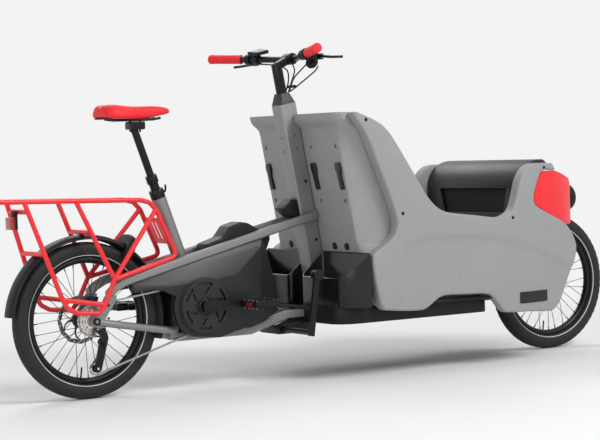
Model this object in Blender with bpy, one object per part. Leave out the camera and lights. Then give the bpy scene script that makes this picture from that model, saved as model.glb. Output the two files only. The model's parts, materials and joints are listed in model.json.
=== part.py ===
"""A cargo bicycle with a box ahead of the rider, as an assembly of named pieces.

Metres, +Z up, +X forward, +Y to the rider's left. Lengths along the bicycle are counted from the rear
axle; one empty then moves everything so that the origin lies under the middle of the whole.
"""

import math

import bmesh
import bpy
import numpy as np
from mathutils import Vector

# Driving dimensions
RIM_R = 0.203
TYRE_H = 0.052
AXLE_Z = 0.255
WHEELBASE = 1.936
DRAWN_BASE = 1.936
BOX_REAR_X = 1.020
BOX_FORE_X = 1.437
RACK_TAIL = 0.322
TYRE_W = 0.054
TREAD_W = 0.026
WHEEL_SIDES = 40
GAP = 0.0003
RUN = 0.0005

BOX_HALF = 0.330
WALL_T = 0.045
FLOOR_Z = 0.2468
FLOOR_T = 0.012
MAT_T = 0.004
HOOD_GAP = 0.004
BEAM_W = 0.025
BEAM_H = 0.028
NOSE_POWER = 2.2

MAST_W = 0.065
MAST_WALL = 0.004
MAST_LEAN = math.radians(10.0)
MAST_TOP = Vector((0.785, 0.0, 0.943))
FORK_LEAN = math.radians(20.0)
FORK_OFFSET = 0.035
SEAT_LEAN = math.radians(19.5)
SEAT_TOP = Vector((0.207, 0.0, 0.855))

CRANK = Vector((0.395, 0.0, 0.277))
CRANK_LEN = 0.170
CHAIN_Y = -0.050
CHAINRING_R = 0.0735
COVER_IN = 0.0585
COVER_OUT = 0.0855
HUB_HALF = 0.0545
DROP_IN = 0.0668
DROP_T = 0.008
AXLE_R = 0.0075
ROTOR_R = 0.080
ROTOR_Y = 0.0445
BAR_R = 0.0111
BAR_MID = Vector((0.815, 0.0, 1.097))
BAR_END = Vector((0.704, 0.346, 1.115))
GRIP_IN = 0.215
RACK_R = 0.008
GUARD_GAP = 0.024
YOKE_GAP = 0.0085
CROWN_GAP = 0.022
LAMP_R = 0.0495
LAMP_GAP = 0.0075
STAND_PIVOT = Vector((0.717, 0.0, 0.172))
STAND_Y = 0.235
STAND_LEG = 0.193




def drawn(x):
    """A place on the box's drawn outlines: the box stretches with the wheelbase, and its ends keep their form."""
    share = min(max((x - BOX_REAR_X) / (BOX_FORE_X - BOX_REAR_X), 0.0), 1.0)
    return x + share * (WHEELBASE - DRAWN_BASE)


def stretched(outline):
    return [(drawn(x), b) for x, b in outline]


TYRE_R = RIM_R + TYRE_H
GUARD_R = TYRE_R + GUARD_GAP
YOKE_X = GUARD_R + YOKE_GAP
CROWN_H = 0.036
CROWN_S = TYRE_R + CROWN_GAP + CROWN_H / 2.0
HEAD_S = CROWN_S + 0.050
WALL_BEND_X = drawn(1.45)
WALL_NOSE_X = drawn(2.040)
NOSE_X = drawn(1.975)
REAR_AXLE_X = -(WHEELBASE + TYRE_R - RACK_TAIL) / 2.0
BEAM_TOP = FLOOR_Z - FLOOR_T - GAP
BEAM_Z = BEAM_TOP - BEAM_H / 2.0
TRAY_HALF = BOX_HALF - WALL_T - GAP
REAR_AXLE = Vector((0.0, 0.0, AXLE_Z))
FRONT_AXLE = Vector((WHEELBASE, 0.0, AXLE_Z))
MAST_DIR = Vector((-math.sin(MAST_LEAN), 0.0, math.cos(MAST_LEAN)))
FORK_DIR = Vector((-math.sin(FORK_LEAN), 0.0, math.cos(FORK_LEAN)))
SEAT_DIR = Vector((-math.sin(SEAT_LEAN), 0.0, math.cos(SEAT_LEAN)))

COLOURS = {
    "frame_paint": ((0.52, 0.51, 0.48), 0.45, 0.0),
    "box_shell": ((0.42, 0.43, 0.44), 0.60, 0.0),
    "red_paint": ((0.86, 0.045, 0.07), 0.35, 0.0),
    "black_plastic": ((0.016, 0.016, 0.017), 0.55, 0.0),
    "cover_plastic": ((0.035, 0.035, 0.036), 0.50, 0.0),
    "black_metal": ((0.02, 0.02, 0.021), 0.40, 0.3),
    "tyre_rubber": ((0.012, 0.012, 0.012), 0.80, 0.0),
    "red_plastic": ((0.86, 0.045, 0.07), 0.40, 0.0),
    "grip_rubber": ((0.78, 0.035, 0.055), 0.60, 0.0),
    "saddle_cover": ((0.80, 0.040, 0.062), 0.50, 0.0),
    "bright_steel": ((0.62, 0.62, 0.63), 0.30, 1.0),
    "lens": ((0.55, 0.03, 0.03), 0.20, 0.0),
}


def mast_at(z):
    """The point of the mast's axis at height z."""
    return MAST_TOP + MAST_DIR * ((z - MAST_TOP.z) / MAST_DIR.z)


def fork_at(s):
    """The point of the fork's axis at distance s above the foot of the offset."""
    return FRONT_AXLE + Vector((-FORK_OFFSET, 0.0, 0.0)) + FORK_DIR * s


def seat_at(z):
    return SEAT_TOP + SEAT_DIR * ((z - SEAT_TOP.z) / SEAT_DIR.z)


def bar_at(y):
    """The point of the handlebar's swept part at sideways distance y."""
    inner = Vector((BAR_MID.x, 0.045, BAR_MID.z))
    share = (abs(y) - inner.y) / (BAR_END.y - inner.y)
    point = inner + (BAR_END - inner) * share
    return Vector((point.x, math.copysign(point.y, y), point.z))


def curve_y(x, nose):
    """Half width of the box in plan at x, for a nose that closes at x = nose."""
    if x <= WALL_BEND_X:
        return BOX_HALF
    t = min((x - WALL_BEND_X) / (nose - WALL_BEND_X), 1.0)
    return BOX_HALF * (1.0 - t**NOSE_POWER) ** (1.0 / NOSE_POWER)


def circle(radius, count, turn=0.5):
    """Section of a round bar, with flats turned by a share of one side."""
    step = math.tau / count
    return [(radius * math.cos((i + turn) * step), radius * math.sin((i + turn) * step)) for i in range(count)]


def oblong(wide, high, chamfer=0.0):
    """Section of a rectangular bar, with chamfered corners."""
    a, b, c = wide / 2.0, high / 2.0, chamfer
    if c <= 0.0:
        return [(a, -b), (a, b), (-a, b), (-a, -b)]
    return [(a, c - b), (a, b - c), (a - c, b), (c - a, b), (-a, b - c), (-a, c - b), (c - a, -b),
            (a - c, -b)]


def rounded(points, radius, steps=4):
    """A closed outline with its corners rounded; radius is one number or one for each corner."""
    out = []
    count = len(points)
    for i in range(count):
        here = Vector(points[i])
        r = radius[i] if isinstance(radius, (list, tuple)) else radius
        back = Vector(points[i - 1]) - here
        ahead = Vector(points[(i + 1) % count]) - here
        if r <= 0.0:
            out.append(tuple(here))
            continue
        half = back.angle(ahead) / 2.0
        reach = r / math.tan(half)
        start = here + back.normalized() * reach
        end = here + ahead.normalized() * reach
        middle = here + (back.normalized() + ahead.normalized()).normalized() * (r / math.sin(half))
        for k in range(steps + 1):
            share = k / steps
            spoke = (start - middle).lerp(end - middle, share).normalized() * r
            out.append(tuple(middle + spoke))
    return out


def arc(centre, radius, start, end, steps):
    """Points of an arc in the X-Z plane, in degrees from +X toward +Z."""
    out = []
    for k in range(steps + 1):
        a = math.radians(start + (end - start) * k / steps)
        out.append((centre[0] + radius * math.cos(a), centre[1] + radius * math.sin(a)))
    return out


def sweep(path, section, side=(0.0, 1.0, 0.0), loop=False):
    """A bar of the given section along a path, mitred at its corners; side is the section's first axis."""
    pts = [Vector(p) for p in path]
    count = len(pts)
    last = count if loop else count - 1
    ways = [(pts[(i + 1) % count] - pts[i]).normalized() for i in range(last)]
    verts = []
    for i in range(count):
        before = ways[i - 1] if loop or i > 0 else ways[0]
        after = ways[i % last] if loop or i < count - 1 else ways[-1]
        along = before if i > 0 or loop else after
        u = Vector(side)
        u = (u - along * u.dot(along)).normalized()
        v = along.cross(u)
        plane = (before + after).normalized()
        for a, b in section:
            off = u * a + v * b
            verts.append(pts[i] + off - along * (off.dot(plane) / along.dot(plane)))
    n = len(section)
    faces = []
    for i in range(last):
        j = (i + 1) % count
        for k in range(n):
            m = (k + 1) % n
            faces.append((i * n + k, j * n + k, j * n + m, i * n + m))
    if not loop:
        faces.append(tuple(range(n)))
        faces.append(tuple(range((count - 1) * n, count * n)))
    return verts, faces


def rod(start, end, radius, count=12, side=None):
    way = Vector(end) - Vector(start)
    if side is None:
        side = (1.0, 0.0, 0.0) if abs(way.normalized().y) > 0.9 else (0.0, 1.0, 0.0)
    return sweep([start, end], circle(radius, count), side)


def prism(outline, axis, low, high):
    """An outline extruded along one axis; its two numbers are the other two coordinates in order."""
    verts = []
    for level in (low, high):
        for a, b in outline:
            verts.append(Vector({"x": (level, a, b), "y": (a, level, b), "z": (a, b, level)}[axis]))
    n = len(outline)
    faces = [tuple(range(n)), tuple(range(n, 2 * n))]
    for k in range(n):
        m = (k + 1) % n
        faces.append((k, m, n + m, n + k))
    return verts, faces


def box(x0, x1, y0, y1, z0, z1):
    return prism([(x0, y0), (x1, y0), (x1, y1), (x0, y1)], "z", z0, z1)


def turned(profile, centre, count, axis=(0.0, 1.0, 0.0), start=0.0, end=360.0):
    """A closed profile of (radius, distance along the axis) turned about an axis."""
    axis = Vector(axis).normalized()
    u = Vector((0.0, 0.0, 1.0)) if abs(axis.z) < 0.9 else Vector((1.0, 0.0, 0.0))
    u = (u - axis * u.dot(axis)).normalized()
    v = axis.cross(u)
    whole = end - start > 359.9
    rings = count if whole else count + 1
    verts = []
    index = []
    for radius, along in profile:
        row = []
        for i in range(rings):
            if radius <= 0.0 and i > 0:
                row.append(row[0])
                continue
            a = math.radians(start + (end - start) * i / count)
            row.append(len(verts))
            verts.append(Vector(centre) + axis * along + (u * math.cos(a) + v * math.sin(a)) * radius)
        index.append(row)
    faces = []
    n = len(profile)
    for k in range(n):
        a, b = index[k], index[(k + 1) % n]
        for i in range(count):
            j = (i + 1) % rings
            face = list(dict.fromkeys((a[i], a[j], b[j], b[i])))
            if len(face) > 2:
                faces.append(tuple(face))
    if not whole:
        faces.append(tuple(row[0] for row in index))
        faces.append(tuple(row[-1] for row in index))
    return verts, faces


def slab(surface, us, vs, depth):
    """A sheet over a grid: surface(u, v) gives its back, and depth the way to its front."""
    depth = Vector(depth)
    back = [Vector(surface(u, v)) for u in us for v in vs]
    verts = back + [p + depth for p in back]
    nu, nv = len(us), len(vs)
    half = nu * nv
    faces = []
    for i in range(nu - 1):
        for j in range(nv - 1):
            a, b, c, d = i * nv + j, (i + 1) * nv + j, (i + 1) * nv + j + 1, i * nv + j + 1
            faces.append((a, b, c, d))
            faces.append((half + d, half + c, half + b, half + a))
    rim = [i * nv for i in range(nu)]
    rim += [(nu - 1) * nv + j for j in range(1, nv)]
    rim += [i * nv + nv - 1 for i in range(nu - 2, -1, -1)]
    rim += [j for j in range(nv - 2, 0, -1)]
    for k, a in enumerate(rim):
        b = rim[(k + 1) % len(rim)]
        faces.append((a, b, half + b, half + a))
    return verts, faces


def bent_panel(outline, nose, out, depth, mirror=1.0):
    """A panel cut to an outline in X-Z and bent to the box's plan curve, out from it and depth thick."""
    shares = (0.0, 0.2, 0.34, 0.46, 0.57, 0.67, 0.76, 0.84, 0.9, 0.95, 0.99)
    stations = [WALL_BEND_X + (nose - WALL_BEND_X) * s for s in shares]
    widths = [curve_y(x, nose) for x in stations]
    bm = bmesh.new()
    bm.faces.new([bm.verts.new((x, 0.0, z)) for x, z in outline])
    for x in stations:
        every = bm.verts[:] + bm.edges[:] + bm.faces[:]
        bmesh.ops.bisect_plane(bm, geom=every, dist=1e-7, plane_co=(x, 0, 0), plane_no=(1, 0, 0))
    bmesh.ops.triangulate(bm, faces=bm.faces[:])
    grown = bmesh.ops.extrude_face_region(bm, geom=bm.faces[:])["geom"]
    inner = {g for g in grown if isinstance(g, bmesh.types.BMVert)}
    for vert in bm.verts:
        wide = float(np.interp(vert.co.x, stations, widths))
        vert.co.y = -mirror * (wide + out - (depth if vert in inner else 0.0))
    bm.verts.index_update()
    shape = ([v.co.copy() for v in bm.verts], [tuple(v.index for v in f.verts) for f in bm.faces])
    bm.free()
    return shape


def flipped(shape):
    """The same shape on the other side of the bicycle."""
    verts, faces = shape
    return [Vector((v[0], -v[1], v[2])) for v in verts], [tuple(reversed(f)) for f in faces]


def raw_object(name, shapes):
    bm = bmesh.new()
    for verts, faces in shapes:
        made = [bm.verts.new(v) for v in verts]
        part = [bm.faces.new([made[i] for i in f]) for f in faces]
        bmesh.ops.recalc_face_normals(bm, faces=part)
    mesh = bpy.data.meshes.new(name)
    bm.to_mesh(mesh)
    bm.free()
    obj = bpy.data.objects.new(name, mesh)
    bpy.context.scene.collection.objects.link(obj)
    return obj


def boolean(obj, other, operation, many):
    modifier = obj.modifiers.new(operation.lower(), "BOOLEAN")
    modifier.operation = operation
    modifier.solver = "EXACT"
    modifier.use_self = many
    modifier.object = other
    other.hide_render = True
    other.display_type = "WIRE"
    bpy.context.view_layer.update()
    done = bpy.data.meshes.new_from_object(obj.evaluated_get(bpy.context.evaluated_depsgraph_get()))
    obj.modifiers.clear()
    obj.data = done
    bpy.data.objects.remove(other, do_unlink=True)


def solid(name, colour, shapes, cuts=(), origin=(0.0, 0.0, 0.0), smooth=False):
    """One named body: the shapes joined, the cuts taken out, its origin at a given point."""
    shapes = list(shapes)
    obj = raw_object(name, shapes[:1])
    if len(shapes) > 1:
        boolean(obj, raw_object("join", shapes[1:]), "UNION", len(shapes) > 2)
    for cut in cuts:
        boolean(obj, raw_object("cut", [cut]), "DIFFERENCE", False)
    mesh = obj.data
    mesh.name = name
    bm = bmesh.new()
    bm.from_mesh(mesh)
    bmesh.ops.remove_doubles(bm, verts=bm.verts[:], dist=2e-6)
    bmesh.ops.dissolve_degenerate(bm, edges=bm.edges[:], dist=2e-6)
    bmesh.ops.translate(bm, verts=bm.verts[:], vec=-Vector(origin))
    bm.to_mesh(mesh)
    bm.free()
    mesh.materials.clear()
    mesh.materials.append(material(colour))
    for polygon in mesh.polygons:
        polygon.use_smooth = smooth
    obj.location = Vector(origin)
    obj.parent = ROOT
    return obj


def material(colour):
    made = bpy.data.materials.get(colour)
    if made:
        return made
    made = bpy.data.materials.new(colour)
    made.use_nodes = True
    shader = made.node_tree.nodes["Principled BSDF"]
    base, rough, metal = COLOURS[colour]
    shader.inputs["Base Color"].default_value = (*base, 1.0)
    shader.inputs["Roughness"].default_value = rough
    shader.inputs["Metallic"].default_value = metal
    made.diffuse_color = (*base, 1.0)
    return made


def both(name, colour, shapes, cuts=(), origin=(0.0, 0.0, 0.0), smooth=False):
    """A right-hand piece and its mirrored twin."""
    shapes = list(shapes)
    cuts = list(cuts)
    solid("right_" + name, colour, shapes, cuts, origin, smooth)
    other = (origin[0], -origin[1], origin[2])
    solid("left_" + name, colour, [flipped(s) for s in shapes], [flipped(c) for c in cuts], other, smooth)


def wheel(name, centre, bore_right, bore_left, seat_left):
    """Tyre, wheel with hub and spokes, and brake disc about one axle."""
    t, w = TREAD_W / 2.0, TYRE_W / 2.0
    foot = RIM_R + GAP
    tread = TYRE_R / math.cos(math.pi / WHEEL_SIDES)
    turn = 180.0 / WHEEL_SIDES
    side = [(tread, t), (tread - 0.004, t + 0.006), (TYRE_R - 0.014, w - 0.002), (TYRE_R - 0.027, w),
            (foot + 0.006, w - 0.006), (foot, 0.011)]
    profile = side + [(r, -y) for r, y in reversed(side)]
    solid(name + "_tyre", "tyre_rubber", [turned(profile, centre, WHEEL_SIDES, start=turn, end=turn + 360.0)],
          origin=centre, smooth=True)

    rim = [(RIM_R, 0.0125), (RIM_R - 0.008, 0.0135), (RIM_R - 0.014, 0.0115), (RIM_R - 0.018, 0.005)]
    rim += [(r, -y) for r, y in reversed(rim)]
    hub = [(AXLE_R + RUN, bore_right), (0.017, bore_right), (0.017, -0.031), (0.029, -0.0305),
           (0.029, -0.0265), (0.016, -0.022), (0.016, 0.024), (0.029, 0.0285), (0.029, 0.0325),
           (0.0235, 0.034), (0.0235, ROTOR_Y - 0.0013), (seat_left, ROTOR_Y - 0.0013),
           (seat_left, bore_left), (AXLE_R + RUN, bore_left)]
    spokes = []
    for i in range(28):
        right = i % 2 == 0
        y0 = -0.0285 if right else 0.0305
        a = math.tau * i / 28
        lean = 0.62 if right else -0.62
        start = (0.0255 * math.sin(a + lean), y0, 0.0255 * math.cos(a + lean))
        end = ((RIM_R - 0.0145) * math.sin(a), y0 * 0.12, (RIM_R - 0.0145) * math.cos(a))
        spokes.append(rod(Vector(centre) + Vector(start), Vector(centre) + Vector(end), 0.0013, 3))
    parts = [turned(rim, centre, WHEEL_SIDES, start=turn, end=turn + 360.0), turned(hub, centre, 16)] + spokes
    solid(name + "_wheel", "black_metal", parts, origin=centre, smooth=False)

    band = [(ROTOR_R - 0.014, ROTOR_Y - 0.001), (ROTOR_R, ROTOR_Y - 0.001), (ROTOR_R, ROTOR_Y + 0.001),
            (ROTOR_R - 0.014, ROTOR_Y + 0.001)]
    heart = [(seat_left + GAP, ROTOR_Y - 0.001), (0.028, ROTOR_Y - 0.001), (0.028, ROTOR_Y + 0.001),
             (seat_left + GAP, ROTOR_Y + 0.001)]
    arms = []
    for i in range(6):
        a = math.tau * i / 6
        reach = []
        for r, b in ((0.025, 0.0), (ROTOR_R - 0.008, 0.5)):
            reach.append(Vector((r * math.sin(a + b), ROTOR_Y, r * math.cos(a + b))))
        arms.append(sweep([Vector(centre) + p for p in reach], oblong(0.002, 0.010)))
    solid(name + "_rotor", "bright_steel", [turned(band, centre, 24), turned(heart, centre, 16)] + arms,
          origin=centre)


def build_wheels():
    wheel("rear", REAR_AXLE, -0.0342, 0.0660, 0.0200)
    wheel("front", FRONT_AXLE, -HUB_HALF, HUB_HALF, 0.0200)
    steps = [(0.050, -0.0350), (0.050, -0.0375), (0.044, -0.0378), (0.044, -0.0430), (0.036, -0.0433),
             (0.036, -0.0490), (0.029, -0.0493), (0.029, -0.0545), (0.023, -0.0548), (0.023, -0.0600)]
    profile = [(AXLE_R + RUN, -0.0347)] + steps + [(AXLE_R + RUN, -0.0600)]
    solid("cassette", "bright_steel", [turned(profile, REAR_AXLE, 16)], origin=REAR_AXLE)


def build_frame():
    half = MAST_W / 2.0
    foot = mast_at(BEAM_TOP + 0.0020)
    inner = MAST_W - 2.0 * MAST_WALL
    bore = sweep([foot - MAST_DIR * 0.05, MAST_TOP + MAST_DIR * 0.05], oblong(inner, inner))
    mast = sweep([foot, MAST_TOP], oblong(MAST_W, MAST_W, 0.006))
    solid("mast", "frame_paint", [mast], [bore])

    base = MAST_TOP + MAST_DIR * GAP
    top = base + MAST_DIR * 0.037
    verts, faces = sweep([base, top], oblong(MAST_W, MAST_W, 0.008))
    shrink = [v if i < 8 else top + (v - top) * 0.62 for i, v in enumerate(verts)]
    hole = rod(base - MAST_DIR * 0.01, top + MAST_DIR * 0.01, 0.0147, 20)
    solid("headset_cap", "black_plastic", [(shrink, faces)], [hole])

    seat_low = seat_at(0.388)
    seat_high = seat_at(0.640)
    tube = rod(seat_low, seat_high, 0.0245, 16)
    cross = rod((seat_at(0.415).x, -0.0501, 0.415), (seat_at(0.415).x, 0.0501, 0.415), 0.012, 12)
    hole = rod(seat_low - SEAT_DIR * 0.02, seat_high + SEAT_DIR * 0.02, 0.0158 + GAP, 16)
    solid("seat_tube", "frame_paint", [tube, cross], [hole], smooth=True)

    front_y = half + GAP + 0.011
    slope = 0.2353
    run = [(0.872, front_y, 0.366 + slope * (0.872 - 0.065)), (0.108, 0.0708, 0.366 + slope * 0.043),
           (0.072, 0.0708, 0.358), (0.055, 0.0708, 0.343), (0.055, 0.0708, 0.3353)]
    both("top_tube", "frame_paint", [sweep([(x, -y, z) for x, y, z in run], oblong(0.022, 0.029, 0.005))])

    plate = [(-0.022, 0.243), (-0.010, 0.231), (0.030, 0.233), (0.062, 0.240), (0.076, 0.300), (0.078, 0.335),
             (0.034, 0.335), (-0.008, 0.290), (-0.022, 0.268)]
    pieces = [box(YOKE_X, YOKE_X + 0.030, -0.0425, 0.0425, 0.170, 0.212)]
    for s in (-1.0, 1.0):
        stay = [(0.020, s * 0.0718, 0.250), (0.080, s * 0.0718, 0.238), (YOKE_X + 0.0165, s * 0.0400, 0.198)]
        pieces.append(sweep(stay, oblong(0.014, 0.026, 0.004)))
        pieces.append(prism(plate, "y", *sorted((s * DROP_IN, s * (DROP_IN + DROP_T)))))
    pieces.append(rod((0, -0.0835, AXLE_Z), (0, 0.0835, AXLE_Z), AXLE_R, 16))
    solid("chainstay_yoke", "frame_paint", pieces)

    rail_y = half + GAP + BEAM_W / 2.0
    head_mid = fork_at(HEAD_S + 0.031)
    start = YOKE_X + 0.030 + GAP
    pieces = [rod(fork_at(HEAD_S), fork_at(HEAD_S + 0.057), 0.033, 20)]
    for s in (-1.0, 1.0):
        path = [(start, s * 0.0280, 0.1765), (0.600, s * 0.0280, 0.1765), (0.740, s * rail_y, BEAM_Z),
                (1.000, s * rail_y, BEAM_Z), (drawn(1.626), s * 0.0415, BEAM_Z),
                (head_mid.x - 0.004, s * 0.0415, head_mid.z)]
        pieces.append(sweep(path, oblong(BEAM_W, BEAM_H, 0.004)))
    pieces.append(box(start, start + 0.027, -0.040, 0.040, 0.165, 0.188))
    cut = rod(fork_at(HEAD_S - 0.045), fork_at(HEAD_S + 0.135), 0.0147, 20)
    solid("main_beam", "frame_paint", pieces, [cut])


def build_floor():
    fore = drawn(1.430)
    outline = [(0.800, -TRAY_HALF), (fore, -TRAY_HALF), (fore, TRAY_HALF), (0.800, TRAY_HALF)]
    skirt = rounded(outline, [0.070, 0.030, 0.030, 0.070])
    inset = [(0.806, 0.006 - TRAY_HALF), (fore - 0.006, 0.006 - TRAY_HALF), (fore - 0.006, TRAY_HALF - 0.006),
             (0.806, TRAY_HALF - 0.006)]
    hollow = prism(rounded(inset, [0.064, 0.024, 0.024, 0.064]), "z", 0.15, FLOOR_Z - FLOOR_T)
    slot = sweep([mast_at(0.20), mast_at(0.30)], oblong(MAST_W + 2 * GAP, MAST_W + 2 * GAP))
    half = TRAY_HALF - 0.020
    mat = prism(rounded([(1.030, -half), (fore - 0.008, -half), (fore - 0.008, half), (1.030, half)],
                        0.020), "z", FLOOR_Z - 0.006, FLOOR_Z + MAT_T)
    solid("floor_tray", "black_plastic", [prism(skirt, "z", 0.192, FLOOR_Z), mat],
          [hollow, slot, box(0.78, fore + 0.03, -0.062, 0.062, 0.15, FLOOR_Z - FLOOR_T)])

    x0, x1, y0, y1 = 0.806, 0.905, 0.002 - BOX_HALF, -0.037
    plan = rounded([(x0, y0), (x1, y0), (x1, y1), (x0, y1)], [0.092, 0.006, 0.010, 0.020])
    verts, faces = prism(plan, "z", FLOOR_Z + GAP, 0.430)
    for v in verts:
        if v.z > 0.3:
            v.z = 0.430 - 0.85 * (x1 - v.x)
    t = 0.004
    plan = [(x0 + t, y0 + t), (x1 - t, y0 + t), (x1 - t, y1 - t), (x0 + t, y1 - t)]
    hollow = prism(rounded(plan, [0.086, 0.003, 0.007, 0.017]), "z", FLOOR_Z + 0.005, 0.50)
    both("bin", "black_plastic", [(verts, faces)], [hollow])


def back_x(z):
    """Rear face of the box's back panel, just ahead of the mast."""
    return mast_at(z).x + MAST_W / 2.0 / math.cos(MAST_LEAN) + GAP * 2


def build_box():
    rear = [(0.957, 0.233), (0.941, 0.251), (0.927, 0.306), (0.912, 0.401), (0.918, 0.425), (0.978, 0.461),
            (1.008, 0.490), (1.018, 0.528), (1.009, 0.564), (0.981, 0.640), (0.945, 0.726), (0.902, 0.825)]
    rim = [(0.852, 0.894), (0.860, 0.904), (0.885, 0.897), (0.937, 0.876), (0.977, 0.852), (1.009, 0.817),
           (1.068, 0.731), (1.127, 0.641), (1.159, 0.598), (1.196, 0.566), (1.239, 0.550), (1.347, 0.536),
           (1.457, 0.5225), (1.493, 0.531), (1.517, 0.547), (1.537, 0.592), (1.554, 0.644), (1.575, 0.679),
           (1.605, 0.701), (1.647, 0.707), (1.730, 0.7045)]
    front = [(1.748, 0.6785), (1.6725, 0.6785), (1.6445, 0.642), (1.6275, 0.603), (1.6235, 0.575),
             (1.6340, 0.5565), (1.703, 0.5245), (1.802, 0.484), (1.845, 0.451), (1.876, 0.416),
             (1.884, 0.393), (1.872, 0.355), (1.842, 0.317), (1.799, 0.259), (1.759, 0.204),
             (1.729, 0.181), (1.703, 0.174)]
    low = [(1.584, 0.182), (1.498, 0.185), (1.471, 0.191), (1.437, 0.229), (1.407, 0.255), (1.314, 0.262),
           (1.215, 0.265), (1.185, 0.257), (1.141, 0.230), (1.115, 0.222), (1.035, 0.225)]
    outline = stretched(rear + rim + front + low)
    arch = [(1.018, 0.15), (1.018, 0.400), (1.065, 0.450), (1.129, 0.470), (1.193, 0.473), (1.366, 0.464),
            (1.477, 0.451), (1.594, 0.419), (1.698, 0.374), (1.830, 0.332), (1.92, 0.30), (1.92, 0.15)]
    arch = stretched(arch)
    for side, s in (("right", 1.0), ("left", -1.0)):
        wall = bent_panel(outline, WALL_NOSE_X, 0.0, WALL_T, s)
        field = bent_panel(arch, WALL_NOSE_X, 0.02, 0.023, s)
        solid("box_%s_wall" % side, "box_shell", [wall], [field])

    flare = ([0.248, 0.40, 0.422, 0.461, 0.490, 0.528, 0.564, 0.640, 0.726, 0.825, 0.88, 0.906],
             [0.0, 0.0, 0.004, 0.070, 0.106, 0.122, 0.118, 0.100, 0.082, 0.055, 0.020, 0.010])
    edge = TRAY_HALF
    flat = edge - 0.0387

    def back(y, z):
        share = max(0.0, (abs(y) - flat) / (edge - flat))
        lip = -0.024 if z > 0.872 else 0.0
        bow = float(np.interp(z, *flare)) * share**1.5 * 0.9
        return (back_x(z) + bow + lip * (1.0 - 0.6 * share**3), y, z)

    ys = [-edge, 0.0097 - edge, 0.0227 - edge, -flat, -0.05]
    ys = ys + [-y for y in reversed(ys)]
    zs = [FLOOR_Z + GAP, 0.40, 0.43, 0.461, 0.49, 0.528, 0.58, 0.64, 0.726, 0.80, 0.858, 0.8735, 0.905]
    holes = []
    slot = [(-0.010, 0.736), (0.010, 0.736), (0.013, 0.718), (0.008, 0.695), (0.004, 0.643), (-0.012, 0.645),
            (-0.008, 0.690), (-0.013, 0.714)]
    for y in (0.024 - flat, -0.072, 0.072, flat - 0.024):
        holes.append(prism([(y + a, b) for a, b in slot], "x", 0.70, 1.10))
        for z, h in ((0.795, 0.020), (0.605, 0.012)):
            holes.append(box(0.70, 1.10, y - 0.008, y + 0.008, z - h / 2, z + h / 2))
    holes.append(sweep([mast_at(0.10), mast_at(1.00)], oblong(MAST_W + 2 * GAP, MAST_W + 2 * GAP)))
    solid("box_back", "box_shell", [slab(back, ys, zs, (0.022, 0.0, 0.0))], holes)

    half = curve_y(drawn(1.7415), WALL_NOSE_X) - WALL_T - HOOD_GAP
    path = [(1.4353, 0.0, FLOOR_Z - FLOOR_T / 2), (1.600, 0.0, FLOOR_Z - FLOOR_T / 2)]
    path += [(x, 0.0, z) for x, z in arc((1.690, 0.623), 0.090, 180.0, 90.0, 6)]
    path += [(1.718, 0.0, 0.713), (1.735, 0.0, 0.703), (1.7415, 0.0, 0.685)]
    path = [(drawn(x), y, z) for x, y, z in path]
    pocket = prism([(0.073 - half, 0.530), (half - 0.073, 0.530), (half - 0.048, 0.617),
                    (0.048 - half, 0.617)], "x", drawn(1.55), drawn(1.66))
    solid("hood", "black_plastic", [sweep(path, oblong(2 * half, FLOOR_T))], [pocket])

    red = [(1.6732, 0.6778), (1.748, 0.6778), (1.775, 0.672), (1.840, 0.655), (1.900, 0.635),
           (1.924, 0.600), (1.924, 0.500), (1.900, 0.478), (1.802, 0.4847), (1.7034, 0.5252),
           (1.6344, 0.5572), (1.6242, 0.575), (1.6282, 0.603), (1.6452, 0.6417)]
    red = stretched(red)
    for side, s in (("right", 1.0), ("left", -1.0)):
        solid("%s_nose_panel" % side, "red_plastic", [bent_panel(red, NOSE_X, 0.0, 0.014, s)])

    xs = [drawn(x) for x in (1.7500, 1.80, 1.85, 1.89, 1.9245, 1.945, 1.960, 1.970)]
    face = drawn(1.9243)
    right = [(x, -curve_y(x, NOSE_X)) for x in xs]
    plan = right + [(NOSE_X, -0.030), (NOSE_X, 0.030)] + [(x, -y) for x, y in reversed(right)]
    band = [p for p in plan if p[0] > face - 0.0003]
    lid = prism([(min(x, NOSE_X - 0.020), y * 0.90) for x, y in plan], "z", 0.560, 0.700)
    inside = [(max(x - 0.014, face + 0.0002), y * 0.92) for x, y in reversed(band)]
    brow = prism(band + inside, "z", 0.520, 0.690)
    top = [(1.70, 0.685), (1.775, 0.671), (1.90, 0.634), (1.975, 0.618), (2.1, 0.59), (2.1, 0.8), (1.7, 0.8)]
    above = prism(stretched(top), "y", -0.4, 0.4)
    under = [(1.70, 0.665), (1.775, 0.657), (1.90, 0.622), (1.9243, 0.615), (1.9243, 0.4), (1.7, 0.4)]
    below = prism(stretched(under), "y", -0.4, 0.4)
    lean = prism([(NOSE_X + 0.004, 0.640), (NOSE_X - 0.048, 0.515), (NOSE_X + 0.125, 0.515),
                  (NOSE_X + 0.125, 0.640)], "y", -0.4, 0.4)
    lamp_at = Vector((NOSE_X - 0.045, 0.0, AXLE_Z + TYRE_R + LAMP_GAP + LAMP_R))
    seat = rod(lamp_at - Vector((0.05, 0, 0)), lamp_at + Vector((0.2, 0, 0)), LAMP_R + 0.0005, 28)
    solid("nose_cap", "box_shell", [lid, brow], [above, below, lean, seat])

    lamp = [(0.0, 0.0), (0.042, 0.0), (LAMP_R, 0.006), (LAMP_R, 0.112), (0.045, 0.122), (0.028, 0.129),
            (0.0, 0.131)]
    solid("headlight", "black_plastic", [turned(lamp, lamp_at, 28, (1.0, 0.0, 0.0))], smooth=True)


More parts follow.
